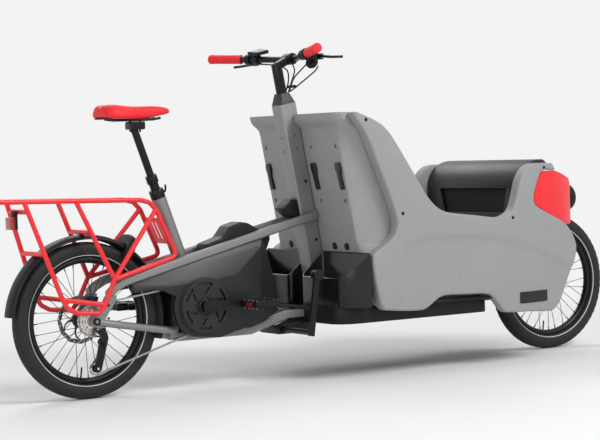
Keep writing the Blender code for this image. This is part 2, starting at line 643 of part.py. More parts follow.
def build_drive():
    bore = rod(CRANK + Vector((0, -0.2, 0)), CRANK + Vector((0, 0.2, 0)), 0.0112, 20)
    tail = YOKE_X + 0.0375
    hull = [(tail + 0.020, 0.195), (0.560, 0.195), (0.625, 0.230), (0.640, 0.300), (0.600, 0.345),
            (tail + 0.030, 0.345), (tail, 0.300), (tail, 0.225)]
    low, high = CHAIN_Y + 0.008, COVER_IN - 0.0005
    solid("motor_unit", "black_plastic", [prism(hull, "y", low, high)], [bore])

    slope = 0.2353
    top = [(x, 0.366 + slope * (x - 0.065) - 0.0149 - 0.0008) for x in (0.640, 0.140)]
    ring = arc((0.388, 0.277), 0.105, 158.0, 252.0, 7)
    outline = [top[1], (0.140, 0.338), (0.228, 0.345)] + ring + [(0.453, 0.168), (0.640, 0.210),
                                                                 (0.692, 0.236), (0.702, 0.255),
                                                                 (0.686, 0.341), (0.652, 0.470), top[0]]
    panel = prism(outline, "y", -COVER_OUT, -COVER_IN)
    facet = prism([(0.50, -COVER_OUT - 0.001), (0.50, -0.20), (0.80, -0.20), (0.80, -0.050)], "z", 0.1, 0.6)
    both("drive_cover", "cover_plastic", [panel], [bore, facet])

    disc = [(0.0125, 0.0), (0.096, 0.0), (0.096, 0.004), (0.088, 0.011), (0.030, 0.013), (0.0125, 0.013)]
    solid("motor_cover", "cover_plastic", [turned(disc, CRANK + Vector((0, -COVER_OUT - GAP, 0)), 32,
                                                  (0, -1, 0))], smooth=False)

    pack = [(0.440, 0.350), (0.610, 0.350), (0.655, 0.400), (0.690, 0.480), (0.690, 0.500), (0.667, 0.507),
            (0.605, 0.541), (0.578, 0.546), (0.535, 0.535), (0.503, 0.497), (0.440, 0.478)]
    solid("battery", "black_plastic", [prism(pack, "y", -0.0389, 0.0389)])

    back = MAST_W / 2.0 / math.cos(MAST_LEAN) + 2 * GAP
    block = [(0.752, 0.582), (0.785, 0.612), (mast_at(0.612).x - back, 0.612),
             (mast_at(0.545).x - back, 0.545), (0.800, 0.545), (0.770, 0.562)]
    solid("mast_console", "black_plastic", [prism(block, "y", -0.030, 0.030)])

    pieces = [rod(CRANK + Vector((0, -0.117, 0)), CRANK + Vector((0, 0.117, 0)), 0.0107, 16)]
    ring = [(0.0, CHAIN_Y - 0.0015), (CHAINRING_R, CHAIN_Y - 0.0015), (CHAINRING_R, CHAIN_Y + 0.0015),
            (0.0, CHAIN_Y + 0.0015)]
    pieces.append(turned(ring, CRANK, 30))
    cuts = []
    for s in (1.0, -1.0):
        end = CRANK + Vector((s * CRANK_LEN, 0, 0))
        arm = [(CRANK.x - s * 0.020, CRANK.z - 0.012), (CRANK.x - s * 0.012, CRANK.z - 0.019),
               (CRANK.x + s * 0.02, CRANK.z - 0.017), (end.x - s * 0.01, end.z - 0.012),
               (end.x + s * 0.009, end.z - 0.012), (end.x + s * 0.013, end.z - 0.006),
               (end.x + s * 0.013, end.z + 0.006), (end.x + s * 0.009, end.z + 0.012),
               (end.x - s * 0.01, end.z + 0.012), (CRANK.x + s * 0.02, CRANK.z + 0.017),
               (CRANK.x - s * 0.012, CRANK.z + 0.019), (CRANK.x - s * 0.020, CRANK.z + 0.012)]
        pieces.append(prism(arm, "y", *sorted((-s * 0.1045, -s * 0.1185))))
        cuts.append(rod(end + Vector((0, -s * 0.09, 0)), end + Vector((0, -s * 0.13, 0)), 0.0065, 12))
    solid("crankset", "black_metal", pieces, cuts, origin=CRANK)

    for side, s in (("right", 1.0), ("left", -1.0)):
        end = CRANK + Vector((s * CRANK_LEN, 0, 0))
        y0, y1 = -s * 0.1225, -s * 0.2150
        frame = rounded([(-0.046, -0.0125), (0.046, -0.0125), (0.046, 0.0125), (-0.046, 0.0125)], 0.005, 2)
        body = prism([(end.x + a, end.z + b) for a, b in frame], "y", *sorted((y0, y1)))
        axle = rod(end + Vector((0, -s * 0.1050, 0)), end + Vector((0, -s * 0.2, 0)), 0.0060, 12)
        span = sorted((y0 - s * 0.014, y1 + s * 0.014))
        gaps = [box(end.x + a, end.x + b, *span, 0.20, 0.35) for a, b in ((-0.036, -0.011), (0.011, 0.036))]
        solid(side + "_pedal", "black_plastic", [body, axle], gaps, origin=end)

    ring_r = CHAINRING_R + 0.0050
    cog_r = 0.044 + 0.0050
    up, down = Vector((0.028, 0.0, 0.185)), Vector((0.004, 0.0, 0.102))
    small = 0.0205
    path = arc((CRANK.x, CRANK.z), ring_r, -78.0, 98.0, 12)
    path += arc((0.0, AXLE_Z), cog_r, 98.0, 262.0, 9)
    path += arc((up.x, up.z), small, 60.0, -40.0, 5)
    path += arc((down.x, down.z), small, 165.0, 288.0, 6)
    links = [(x, CHAIN_Y, z) for x, z in path]
    solid("chain", "bright_steel", [sweep(links, oblong(0.0070, 0.0068), loop=True)])

    arm = [(-0.004, 0.225), (0.022, 0.2305), (0.036, 0.218), (0.040, 0.200), (0.034, 0.178),
           (0.020, 0.178), (0.016, 0.205)]
    knuckle = prism(arm, "y", -0.0800, -0.0700)
    hanger = prism([(0.012, 0.212), (0.034, 0.2145), (0.034, 0.2327), (0.012, 0.2314)], "y", -0.0748, -0.0668)
    solid("derailleur_body", "black_metal", [knuckle, hanger])
    plate = [(up.x - 0.012, up.z + 0.006), (up.x + 0.010, up.z + 0.010), (up.x + 0.012, up.z - 0.006),
             (down.x + 0.012, down.z - 0.006), (down.x + 0.002, down.z - 0.013),
             (down.x - 0.012, down.z - 0.004)]
    outer = prism(plate, "y", -0.0697, -0.0575)
    wheels = []
    for hub in (up, down):
        at = Vector((hub.x, 0.0, hub.z))
        wheels.append(turned([(0.0, -0.060), (0.006, -0.060), (0.006, -0.0530), (0.0135, -0.0525),
                              (0.0135, -0.0475), (0.0, -0.0475)], at, 20))
    solid("derailleur_cage", "black_metal", [outer] + wheels, origin=(up.x, 0.0, up.z))


def rack_y(x, z):
    """Sideways distance of the rack's tubes: they splay below the deck and draw in toward the front."""
    splay = float(np.interp(z, [0.37, 0.44, 0.65], [0.0990, 0.0862, 0.0680]))
    return splay * float(np.interp(x, [0.06, 0.31], [1.0, 0.70]))


def on_guard(line, lift):
    """The point of a rack tube's first stretch that lies just above the mudguard."""
    start, end = Vector(line[0]), Vector(line[1])
    axle = Vector((REAR_AXLE.x, REAR_AXLE.z))
    low, high = 0.0, 1.0
    for _ in range(40):
        share = (low + high) / 2.0
        if (start.lerp(end, share) - axle).length > GUARD_R + lift:
            low = share
        else:
            high = share
    return tuple(start.lerp(end, low))


def build_rack():
    tail = RACK_R * math.cos(math.pi / 6.0) - RACK_TAIL
    rail = [(tail, 0.652), (0.180, 0.638), (0.218, 0.629), (0.243, 0.602), (0.303, 0.468), (0.306, 0.454),
            (0.296, 0.444), (0.061, 0.388)]
    drop = [(-0.232, 0.648), (-0.132, 0.348), (-0.112, 0.307), (-0.080, 0.290), (0.000, 0.2835)]
    mid = [(-0.052, 0.641), (0.061, 0.388)]
    brace = [(0.061, 0.388), (0.241, 0.604)]
    arm = [(-0.1255, 0.3345), (0.022, 0.309)]
    foot = [(0.061, 0.388), (0.022, 0.309), (0.000, 0.2835)]
    pieces = []
    for line in (rail, drop, mid, brace, arm, foot):
        pieces.append(sweep([(x, -rack_y(x, z), z) for x, z in line], circle(RACK_R, 6)))
    boss = rod((0.022, -0.0752, 0.309), (0.022, -0.104, 0.309), 0.0085, 10)
    pieces.append(boss)
    solid("rack_right", "red_paint", pieces)
    left = [flipped(p) for p in pieces]
    level = [(tail, 0.652), (-0.2217, 0.617), on_guard(drop, 0.0066), on_guard(mid, 0.0078)]
    for x, z in level:
        y = rack_y(x, z)
        left.append(rod((x, GAP + RACK_R - y, z), (x, y, z), RACK_R, 6))
    y = rack_y(0.254, 0.576) - 0.0005
    plate = sweep([(0.254, 0.0, 0.576), (0.2935, 0.0, 0.489)], oblong(2.0 * y - RACK_R - GAP, 0.004))
    plate = [v + Vector((0.0, (RACK_R + GAP) / 2.0, 0.0)) for v in plate[0]], plate[1]
    slots = [box(0.20, 0.35, a - 0.005, a + 0.005, 0.505, 0.562) for a in (-0.012, 0.012)]
    solid("rack_left", "red_paint", left + [plate], slots)

    face = rounded([(-0.022, 0.560), (0.022, 0.560), (0.022, 0.603), (-0.022, 0.603)], 0.006, 2)
    lamp = prism(face, "x", -0.2600, -0.2340)
    tab = box(-0.2440, -0.2291, -0.010, 0.010, 0.590, 0.622)
    solid("tail_light", "lens", [lamp, tab])

    a = [(GUARD_R - 0.013, 0.0340), (GUARD_R - 0.003, 0.0260), (GUARD_R, 0.010)]
    outer = a + [(r, -y) for r, y in reversed(a)]
    inner = [(r - 0.0028, y * 0.93) for r, y in outer]
    section = outer + list(reversed(inner))
    solid("rear_mudguard", "black_plastic", [turned(section, REAR_AXLE, 19, (0, 1, 0), -84.0, 107.0)],
          smooth=False)

    lean = math.radians(57.0)
    out = Vector((math.cos(lean), 0.0, math.sin(lean)))
    way = Vector((-math.sin(lean), 0.0, math.cos(lean)))
    right = [(-0.060, -0.051), (-0.060, -0.007), (-0.046, 0.024), (-0.020, 0.037)]
    inner = [(0.041, -0.051), (0.041, -0.011), (0.030, -0.0004)]
    shape = right + [(-y, r) for y, r in reversed(right)] + inner + [(-y, r) for y, r in reversed(inner)]
    shape = [(y, GUARD_R + r) for y, r in shape]
    verts = [REAR_AXLE + out * r + way * t + Vector((0, y, 0)) for t in (-0.014, 0.014) for y, r in shape]
    n = len(shape)
    faces = [tuple(range(n)), tuple(range(n, 2 * n))] + [(k, (k + 1) % n, n + (k + 1) % n,
                                                          n + k) for k in range(n)]
    solid("ring_lock", "black_metal", [(verts, faces)])
    knob = REAR_AXLE + out * (GUARD_R - 0.017)
    lever = sweep([knob + Vector((0, -0.0603, 0)), knob + Vector((0, -0.0700, 0))],
                  oblong(0.012, 0.014, 0.003), tuple(way))
    solid("lock_lever", "bright_steel", [lever], origin=knob)

    lean = math.radians(60.0)
    grip = REAR_AXLE + Vector((math.cos(lean), 0.0, math.sin(lean))) * 0.076
    block = [(grip.x - 0.020, grip.z - 0.012), (grip.x + 0.022, grip.z - 0.018),
             (grip.x + 0.030, grip.z + 0.004), (grip.x - 0.012, grip.z + 0.010)]
    slit = turned([(0.0, ROTOR_Y - 0.0030), (0.084, ROTOR_Y - 0.0030), (0.084, ROTOR_Y + 0.0030),
                   (0.0, ROTOR_Y + 0.0030)], REAR_AXLE, 32)
    solid("rear_caliper", "black_metal", [prism(block, "y", 0.0330, DROP_IN - GAP)], [slit])


def build_seat():
    low, high = seat_at(0.440), seat_at(0.712)
    post = rod(low, high, 0.0158, 16)
    collar = rod(seat_at(0.690), seat_at(0.716), 0.0195, 16)
    clamp = rod(seat_at(0.640) + SEAT_DIR * GAP, seat_at(0.668), 0.0245, 16)
    hole = rod(low - SEAT_DIR * 0.02, high + SEAT_DIR * 0.03, 0.0130, 14)
    solid("seatpost_lower", "black_metal", [post, collar, clamp], [hole], smooth=False)

    post = rod(seat_at(0.590), seat_at(0.872), 0.0126, 14)
    head = box(0.180, 0.232, -0.024, 0.024, 0.868, 0.896)
    rails = [rod((0.105, s * 0.0215, 0.9000), (0.290, s * 0.0215, 0.9000), 0.0055, 8) for s in (-1.0, 1.0)]
    solid("seatpost_upper", "black_metal", [post, head] + rails, origin=seat_at(0.716), smooth=False)

    stations = [(0.072, 0.048, 0.936, 0.914), (0.078, 0.061, 0.945, 0.909), (0.095, 0.071, 0.952, 0.907),
                (0.125, 0.074, 0.9545, 0.9056), (0.160, 0.070, 0.953, 0.9056),
                (0.200, 0.052, 0.949, 0.9056), (0.240, 0.036, 0.945, 0.9056), (0.290, 0.025, 0.941, 0.907),
                (0.322, 0.021, 0.937, 0.909), (0.336, 0.014, 0.931, 0.913)]
    ring = [(0.0, 1.0), (0.35, 0.985), (0.70, 0.90), (0.93, 0.66), (1.0, 0.40), (0.93, 0.16), (0.72, 0.0)]
    ring = ring + [(-a, b) for a, b in reversed(ring[1:])]
    verts = []
    for x, wide, top, low in stations:
        for a, b in ring:
            dip = 0.004 * max(0.0, 1.0 - abs(a) / 0.3) * (b > 0.9) * (wide > 0.03)
            verts.append(Vector((x, a * wide, low + (top - low) * b - dip)))
    n = len(ring)
    faces = [tuple(range(n)), tuple(range(len(verts) - n, len(verts)))]
    for i in range(len(stations) - 1):
        faces += [(i * n + k, (i + 1) * n + k, (i + 1) * n + (k + 1) % n,
                   i * n + (k + 1) % n) for k in range(n)]
    solid("saddle", "saddle_cover", [(verts, faces)], origin=seat_at(0.716), smooth=True)


def build_steering():
    low = mast_at(0.2010)
    shaft = rod(low, mast_at(1.062), 0.0140, 14)
    drum_at = mast_at(0.2130)
    drum = rod(drum_at - MAST_DIR * 0.006, drum_at + MAST_DIR * 0.006, 0.0225, 18)
    stem_low = MAST_TOP + MAST_DIR * (0.037 + GAP + RUN)
    stem = rod(stem_low, mast_at(1.082), 0.0185, 16)
    neck = sweep([mast_at(1.072), BAR_MID], oblong(0.030, 0.026, 0.006))
    grip = rod(BAR_MID + Vector((0, -0.022, 0)), BAR_MID + Vector((0, 0.022, 0)), 0.0205, 14)
    hole = rod(BAR_MID + Vector((0, -0.05, 0)), BAR_MID + Vector((0, 0.05, 0)), BAR_R + GAP, 12)
    solid("steering_column", "black_metal", [shaft, drum, stem, neck, grip], [hole], origin=MAST_TOP)

    inner = [Vector((BAR_MID.x, -0.045, BAR_MID.z)), Vector((BAR_MID.x, 0.045, BAR_MID.z))]
    path = [Vector((BAR_END.x, -BAR_END.y, BAR_END.z))] + inner + [BAR_END]
    solid("handlebar", "black_metal", [sweep(path, circle(BAR_R, 12), (0, 0, 1))], origin=MAST_TOP)

    end, start = bar_at(-BAR_END.y), bar_at(-GRIP_IN)
    way = (end - start).normalized()
    tube = sweep([start, start + way * 0.006, start + way * 0.009, end - way * 0.010, end + way * 0.004],
                 circle(0.0165, 14), (0, 0, 1))
    bore = rod(start - way * 0.02, end + way * 0.0007, BAR_R + GAP, 12, (0, 0, 1))
    both("grip", "grip_rubber", [tube], [bore], smooth=True)

    for side, s in (("right", -1.0), ("left", 1.0)):
        hub = bar_at(s * 0.185)
        way = (bar_at(s * 0.3) - bar_at(s * 0.1)).normalized()
        ahead = Vector((0, 0, 1)).cross(way).normalized() * s * -1.0
        if ahead.x < 0:
            ahead = -ahead
        clamp = rod(hub - way * 0.009, hub + way * 0.009, 0.0185, 12, (0, 0, 1))
        tank = sweep([hub + ahead * 0.026 - way * 0.030 - Vector((0, 0, 0.008)),
                      hub + ahead * 0.030 + way * 0.022 - Vector((0, 0, 0.010))],
                     oblong(0.020, 0.020, 0.005), (0, 0, 1))
        bridge = sweep([hub, hub + ahead * 0.028 - Vector((0, 0, 0.009))], oblong(0.014, 0.014), (0, 0, 1))
        extra = bar_at(s * 0.150)
        if side == "left":
            add = sweep([extra + Vector((-0.020, 0, 0.020)), extra + Vector((0.030, 0, 0.030))],
                        oblong(0.058, 0.012, 0.003), tuple(way))
            post = rod(extra, extra + Vector((0.006, 0, 0.024)), 0.010, 10)
            ring = rod(extra - way * 0.008, extra + way * 0.008, 0.0180, 12, (0, 0, 1))
            shapes = [clamp, tank, bridge, add, post, ring]
        else:
            pod = turned([(0.0, -0.010), (0.018, -0.010), (0.0220, -0.004), (0.0220, 0.006),
                          (0.017, 0.010), (0.0, 0.010)], extra + Vector((0.030, -0.006, -0.026)), 18,
                         (-0.8, -0.3, 0.5))
            neck = rod(extra, extra + Vector((0.028, -0.006, -0.024)), 0.009, 10)
            ring = rod(extra - way * 0.008, extra + way * 0.008, 0.0180, 12, (0, 0, 1))
            shapes = [clamp, tank, bridge, pod, neck, ring]
        bore = rod(bar_at(s * 0.08), bar_at(s * 0.33), BAR_R + GAP, 12, (0, 0, 1))
        outward = Vector((0.0, s, 0.0))
        pivot = hub + ahead * 0.045 + way * 0.012 - Vector((0, 0, 0.012))
        jaw = sweep([pivot - outward * 0.016, pivot + outward * 0.008], oblong(0.020, 0.022, 0.003),
                    (0, 0, 1))
        slit = sweep([pivot - outward * 0.014, pivot + outward * 0.02], oblong(0.0105, 0.030), (0, 0, 1))
        pin = rod(pivot - Vector((0, 0, 0.02)), pivot + Vector((0, 0, 0.02)), 0.0026, 8)
        solid(side + "_control", "black_plastic", shapes + [jaw], [bore, slit, pin], origin=MAST_TOP)
        steps = [(0.0, -0.0095, 0.0), (0.004, 0.014, 0.0), (0.013, 0.050, -0.004), (0.010, 0.095, -0.006),
                 (-0.002, 0.136, -0.008)]
        blade = sweep([pivot + Vector((x, s * y, z)) for x, y, z in steps], oblong(0.0095, 0.0085, 0.002),
                      (0, 0, 1))
        solid(side + "_brake_lever", "black_metal", [blade], origin=pivot)

    hoses = []
    runs = [[(0.834, -0.151, 1.064), (0.842, -0.120, 1.050), (0.836, -0.070, 1.026), (0.820, -0.032, 1.000),
             (0.804, -0.014, 0.984)],
            [(0.7978, -0.147, 1.1075), (0.828, -0.095, 1.078), (0.834, -0.040, 1.056), (0.822, -0.010, 1.030),
             (0.808, -0.004, 0.984)],
            [(0.7975, 0.150, 1.1040), (0.834, 0.110, 1.104), (0.852, 0.050, 1.094), (0.846, 0.012, 1.060),
             (0.824, 0.004, 1.020), (0.809, 0.003, 0.984)],
            [(0.7905, 0.150, 1.0873), (0.828, 0.085, 1.080), (0.834, 0.040, 1.060), (0.820, 0.016, 1.024),
             (0.804, 0.012, 0.984)]]
    for run in runs:
        hoses.append(sweep(run, circle(0.0025, 6), (0, 0, 1)))
    tie = rod((0.8165, -0.030, 1.002), (0.8165, 0.018, 1.002), 0.0050, 8)
    solid("control_cables", "black_plastic", hoses + [tie], origin=MAST_TOP)

    crown_mid = fork_at(CROWN_S)
    across = Vector((0, 1, 0))
    crown = sweep([crown_mid - across * 0.080, crown_mid + across * 0.080], oblong(CROWN_H, 0.030, 0.007),
                  tuple(FORK_DIR))
    steerer = rod(crown_mid, fork_at(HEAD_S + 0.060), 0.0140, 16)
    drum = rod(fork_at(HEAD_S - 0.0185), fork_at(HEAD_S - 0.0055), 0.0225, 24)
    pieces = [crown, steerer, drum]
    for s in (-1.0, 1.0):
        top = crown_mid + across * s * 0.068
        pieces.append(rod(top, FRONT_AXLE + across * s * 0.068 + Vector((0, 0, -0.012)), 0.0130, 12))
    pieces.append(rod(FRONT_AXLE - across * 0.082, FRONT_AXLE + across * 0.082, AXLE_R, 16))
    block = [(FRONT_AXLE.x - 0.085, AXLE_Z + 0.040), (FRONT_AXLE.x - 0.030, AXLE_Z + 0.055),
             (FRONT_AXLE.x - 0.040, AXLE_Z + 0.090), (FRONT_AXLE.x - 0.095, AXLE_Z + 0.066)]
    pieces.append(prism(block, "y", 0.0330, 0.0640))
    slit = turned([(0.020, ROTOR_Y - 0.0030), (0.084, ROTOR_Y - 0.0030), (0.084, ROTOR_Y + 0.0030),
                   (0.020, ROTOR_Y + 0.0030)], FRONT_AXLE, 32)
    solid("fork", "black_metal", pieces, [slit], origin=fork_at(HEAD_S + 0.045))

    wrap = 0.0225 + 0.0026
    fwd = Vector((math.cos(MAST_LEAN), 0.0, math.sin(MAST_LEAN)))
    front_fwd = Vector((math.cos(FORK_LEAN), 0.0, math.sin(FORK_LEAN)))
    front_at = fork_at(HEAD_S - 0.012)
    path = []
    for k in range(9):
        a = math.radians(90.0 - 22.5 * k)
        path.append(front_at + front_fwd * wrap * math.cos(a) + across * wrap * math.sin(a))
    down = [front_at - front_fwd * 0.030, Vector((drawn(1.708), 0, 0.500)), Vector((drawn(1.652), 0, 0.300)),
            Vector((drawn(1.632), 0, 0.238)), Vector((drawn(1.600), 0, 0.222)), Vector((0.980, 0, 0.222)),
            drum_at + fwd * 0.030]
    path += [p - across * wrap for p in down]
    for k in range(9):
        a = math.radians(-90.0 - 22.5 * k)
        path.append(drum_at + fwd * wrap * math.cos(a) + across * wrap * math.sin(a))
    path += [p + across * wrap for p in reversed(down)]
    solid("steering_cable", "bright_steel", [sweep(path, circle(0.0020, 6), (0, 0, 1), loop=True)])


def build_stand():
    x = STAND_PIVOT.x
    bracket = [(x - 0.020, 0.156), (x + 0.105, 0.156), (x + 0.128, 0.172),
               (x + 0.128, BEAM_Z - BEAM_H / 2 - GAP), (x + 0.040, BEAM_Z - BEAM_H / 2 - GAP),
               (x - 0.020, 0.186)]
    bore = rod(STAND_PIVOT - Vector((0, 0.4, 0)), STAND_PIVOT + Vector((0, 0.4, 0)), 0.0105, 16)
    solid("stand_bracket", "black_metal", [prism(bracket, "y", -0.062, 0.062)], [bore])
    up = Vector((math.sin(math.radians(9.0)), 0.0, math.cos(math.radians(9.0))))
    pieces = [rod(STAND_PIVOT - Vector((0, STAND_Y, 0)), STAND_PIVOT + Vector((0, STAND_Y, 0)), 0.0100, 16)]
    for s in (-1.0, 1.0):
        foot = STAND_PIVOT + Vector((0, s * STAND_Y, 0))
        pieces.append(sweep([foot - up * 0.012, foot + up * STAND_LEG], oblong(0.018, 0.022, 0.004)))
        tip = foot + up * STAND_LEG
        pieces.append(rod(tip - Vector((0, 0.013, 0)), tip + Vector((0, 0.013, 0)), 0.0190, 16))
    solid("stand", "black_metal", pieces, origin=STAND_PIVOT)


def clear_scene():
    for obj in list(bpy.data.objects):
        bpy.data.objects.remove(obj, do_unlink=True)
    for made in list(bpy.data.materials):
        bpy.data.materials.remove(made)


clear_scene()
ROOT = bpy.data.objects.new("middle", None)
ROOT.location = (REAR_AXLE_X, 0.0, TYRE_R - AXLE_Z)
bpy.context.scene.collection.objects.link(ROOT)
build_wheels()
build_frame()
build_floor()
build_box()
build_drive()
build_rack()
build_seat()
build_steering()
build_stand()
bpy.context.view_layer.update()
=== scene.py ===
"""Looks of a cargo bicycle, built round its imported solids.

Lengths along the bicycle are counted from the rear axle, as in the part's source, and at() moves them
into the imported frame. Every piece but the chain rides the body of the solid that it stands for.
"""

import json
import math

import bmesh
import bpy
from mathutils import Matrix, Vector

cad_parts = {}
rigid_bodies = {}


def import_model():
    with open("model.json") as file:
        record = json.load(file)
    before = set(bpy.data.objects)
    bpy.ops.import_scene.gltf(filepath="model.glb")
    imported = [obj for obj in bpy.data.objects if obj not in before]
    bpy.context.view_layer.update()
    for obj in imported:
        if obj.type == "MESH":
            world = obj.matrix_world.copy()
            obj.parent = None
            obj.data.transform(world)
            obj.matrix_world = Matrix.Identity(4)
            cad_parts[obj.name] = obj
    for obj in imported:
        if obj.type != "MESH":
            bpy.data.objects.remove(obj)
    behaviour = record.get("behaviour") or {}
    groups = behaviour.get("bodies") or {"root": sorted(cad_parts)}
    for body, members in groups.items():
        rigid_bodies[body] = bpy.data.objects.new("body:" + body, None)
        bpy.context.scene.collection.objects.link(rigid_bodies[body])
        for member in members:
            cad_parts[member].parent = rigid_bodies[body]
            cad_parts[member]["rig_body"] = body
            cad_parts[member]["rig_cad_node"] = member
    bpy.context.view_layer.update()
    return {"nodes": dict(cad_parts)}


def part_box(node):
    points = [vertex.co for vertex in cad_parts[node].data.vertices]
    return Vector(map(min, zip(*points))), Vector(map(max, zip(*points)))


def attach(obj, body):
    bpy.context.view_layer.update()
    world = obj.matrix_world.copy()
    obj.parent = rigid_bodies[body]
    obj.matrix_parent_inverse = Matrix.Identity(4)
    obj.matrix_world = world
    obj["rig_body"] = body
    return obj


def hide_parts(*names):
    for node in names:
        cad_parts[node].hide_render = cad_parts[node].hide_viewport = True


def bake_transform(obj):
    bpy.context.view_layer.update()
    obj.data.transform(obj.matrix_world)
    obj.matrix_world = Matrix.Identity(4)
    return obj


bl_info = {
    "name": "Cargo bicycle looks",
    "version": (1, 0, 0),
    "blender": (4, 5, 0),
    "location": "View3D > Sidebar > Cargo bicycle",
    "description": "Dresses the packed solids of a cargo bicycle",
    "category": "Object",
}

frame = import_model()
NODES = frame["nodes"]


def middle(node):
    low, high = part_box(node)
    return (low + high) / 2.0


REAR = middle("rear_tyre")
FRONT = middle("front_tyre")
AXLE_Z = REAR.z
Y_AXIS = Vector((0.0, 1.0, 0.0))
MAST_LEAN = math.radians(10.0)
MAST_DIR = Vector((-math.sin(MAST_LEAN), 0.0, math.cos(MAST_LEAN)))
MAST_ACROSS = Vector((math.cos(MAST_LEAN), 0.0, math.sin(MAST_LEAN)))
MAST_HALF = 0.0325
SEAT_LEAN = math.radians(19.5)
SEAT_DIR = Vector((-math.sin(SEAT_LEAN), 0.0, math.cos(SEAT_LEAN)))
WALL_NOSE_X = 2.040
NOSE_X = 1.975
NOSE_POWER = 2.2
BOX_BEND_X = 1.45
BOX_HALF = 0.330
WALL_DEPTH = 0.045
HOOD_GAP = 0.0008
BACK_GAP = 0.0006
BAR_X = 0.815
BAR_Z = 1.097
BAR_HALF = 0.346
BAR_FLAT_HALF = 0.045
BAR_SWEEP = 0.111
BAR_RISE = 0.018
CRANK_X = 0.395
CRANK_Z = 0.277
CHAIN_Y = -0.050
PULLEYS = {"upper": (0.028, 0.185), "lower": (0.004, 0.102)}


def at(x, y, z):
    """A point counted from the rear axle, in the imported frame."""
    return Vector((x + REAR.x, y, z))


CRANK = at(CRANK_X, 0.0, CRANK_Z)
MAST_TOP = at(0.785, 0.0, 0.943)
SEAT_TOP = at(0.207, 0.0, 0.855)


def side_on(point):
    """A point's place in the side view, counted from the rear axle."""
    return point.x - REAR.x, point.z


def polar(centre, radius, angle):
    return centre[0] + radius * math.cos(angle), centre[1] + radius * math.sin(angle)


def clamped(t):
    return min(max(t, 0.0), 1.0)


def eased(t):
    """0 to 1 with a soft start and end."""
    t = clamped(t)
    return t * t * (3.0 - 2.0 * t)


def mast_at(z):
    return MAST_TOP + MAST_DIR * ((z - MAST_TOP.z) / MAST_DIR.z)


def seat_at(z):
    return SEAT_TOP + SEAT_DIR * ((z - SEAT_TOP.z) / SEAT_DIR.z)


def bar_at(y):
    """The point of the handlebar's swept part at sideways distance y."""
    share = (abs(y) - BAR_FLAT_HALF) / (BAR_HALF - BAR_FLAT_HALF)
    return at(BAR_X - BAR_SWEEP * share, y, BAR_Z + BAR_RISE * share)


def plan_y(x, nose):
    """Half width of the box at x, for a nose that closes at x = nose."""
    if x <= BOX_BEND_X:
        return BOX_HALF
    t = min((x - BOX_BEND_X) / (nose - BOX_BEND_X), 1.0)
    return BOX_HALF * (1.0 - t**NOSE_POWER) ** (1.0 / NOSE_POWER)


class Wire:
    """A shader socket that adds a Math node where it meets an operator."""

    def __init__(self, paint, socket):
        self.paint = paint
        self.socket = socket

    def __add__(self, other):
        return self.paint.math("ADD", self, other)

    def __sub__(self, other):
        return self.paint.math("SUBTRACT", self, other)

    def __rsub__(self, other):
        return self.paint.math("SUBTRACT", other, self)

    def __mul__(self, other):
        return self.paint.math("MULTIPLY", self, other)

    __radd__ = __add__
    __rmul__ = __mul__

    def root(self):
        return self.paint.math("SQRT", self, 0.0)

    def size(self):
        return self.paint.math("ABSOLUTE", self, 0.0)

    def rise(self, low, high):
        """0 below low, 1 above high, smooth between."""
        settings = {"interpolation_type": "SMOOTHSTEP"}
        values = {"Value": self, "From Min": low, "From Max": high}
        return self.paint.node("ShaderNodeMapRange", settings, values)["Result"]


class Outs:
    """The outputs of a node, by name, as wires."""

    def __init__(self, paint, made):
        self.paint = paint
        self.made = made

    def __getitem__(self, name):
        return Wire(self.paint, self.made.outputs[name])


class Nodes:
    """A node tree whose nodes are written as expressions."""

    def __init__(self, tree):
        self.tree = tree

    def feed(self, socket, value):
        if isinstance(value, Wire):
            self.tree.links.new(value.socket, socket)
        elif isinstance(value, (tuple, list)) and len(value) == 3 and socket.type == "RGBA":
            socket.default_value = (*value, 1.0)
        else:
            socket.default_value = value

    def node(self, kind, settings=None, values=None):
        made = self.tree.nodes.new(kind)
        for key, value in (settings or {}).items():
            setattr(made, key, value)
        for key, value in (values or {}).items():
            self.feed(made.inputs[key], value)
        return Outs(self, made)

    def math(self, operation, first, second):
        return self.node("ShaderNodeMath", {"operation": operation}, {0: first, 1: second})["Value"]


class Paint(Nodes):
    """A material, its main shader and the place on the object that its patterns follow."""

    def __init__(self, name):
        self.material = bpy.data.materials.new(name)
        self.material.use_nodes = True
        super().__init__(self.material.node_tree)
        self.shader = self.tree.nodes["Principled BSDF"]
        self.place = self.node("ShaderNodeTexCoord")["Object"]

    def noise(self, scale, detail=2.0, place=None):
        values = {"Vector": place or self.place, "Scale": scale, "Detail": detail}
        return self.node("ShaderNodeTexNoise", None, values)["Fac"]

    def cells(self, scale):
        return self.node("ShaderNodeTexVoronoi", None, {"Vector": self.place, "Scale": scale})

    def stretched(self, x, y, z):
        """The place, stretched along the axes, for brushed or drawn grain."""
        return self.node("ShaderNodeMapping", None, {"Vector": self.place, "Scale": (x, y, z)})["Vector"]

    def mix(self, share, first, second):
        """Two colours mixed; a Mix node's colours are its sockets 6 and 7, and their mix its output 2."""
        values = {"Factor": share, 6: first, 7: second}
        return self.node("ShaderNodeMix", {"data_type": "RGBA"}, values)[2]

    def parts(self):
        """The place's X, Y and Z."""
        made = self.node("ShaderNodeSeparateXYZ", None, {"Vector": self.place})
        return made["X"], made["Y"], made["Z"]

    def bump(self, height, depth):
        values = {"Height": height, "Strength": 1.0, "Distance": depth}
        self.set(Normal=self.node("ShaderNodeBump", None, values)["Normal"])

    def set(self, **values):
        """Sets the shader's own sockets; an underscore stands for a space."""
        for key, value in values.items():
            self.feed(self.shader.inputs[key.replace("_", " ")], value)


def shade(colour, factor):
    return tuple(min(1.0, c * factor) for c in colour)


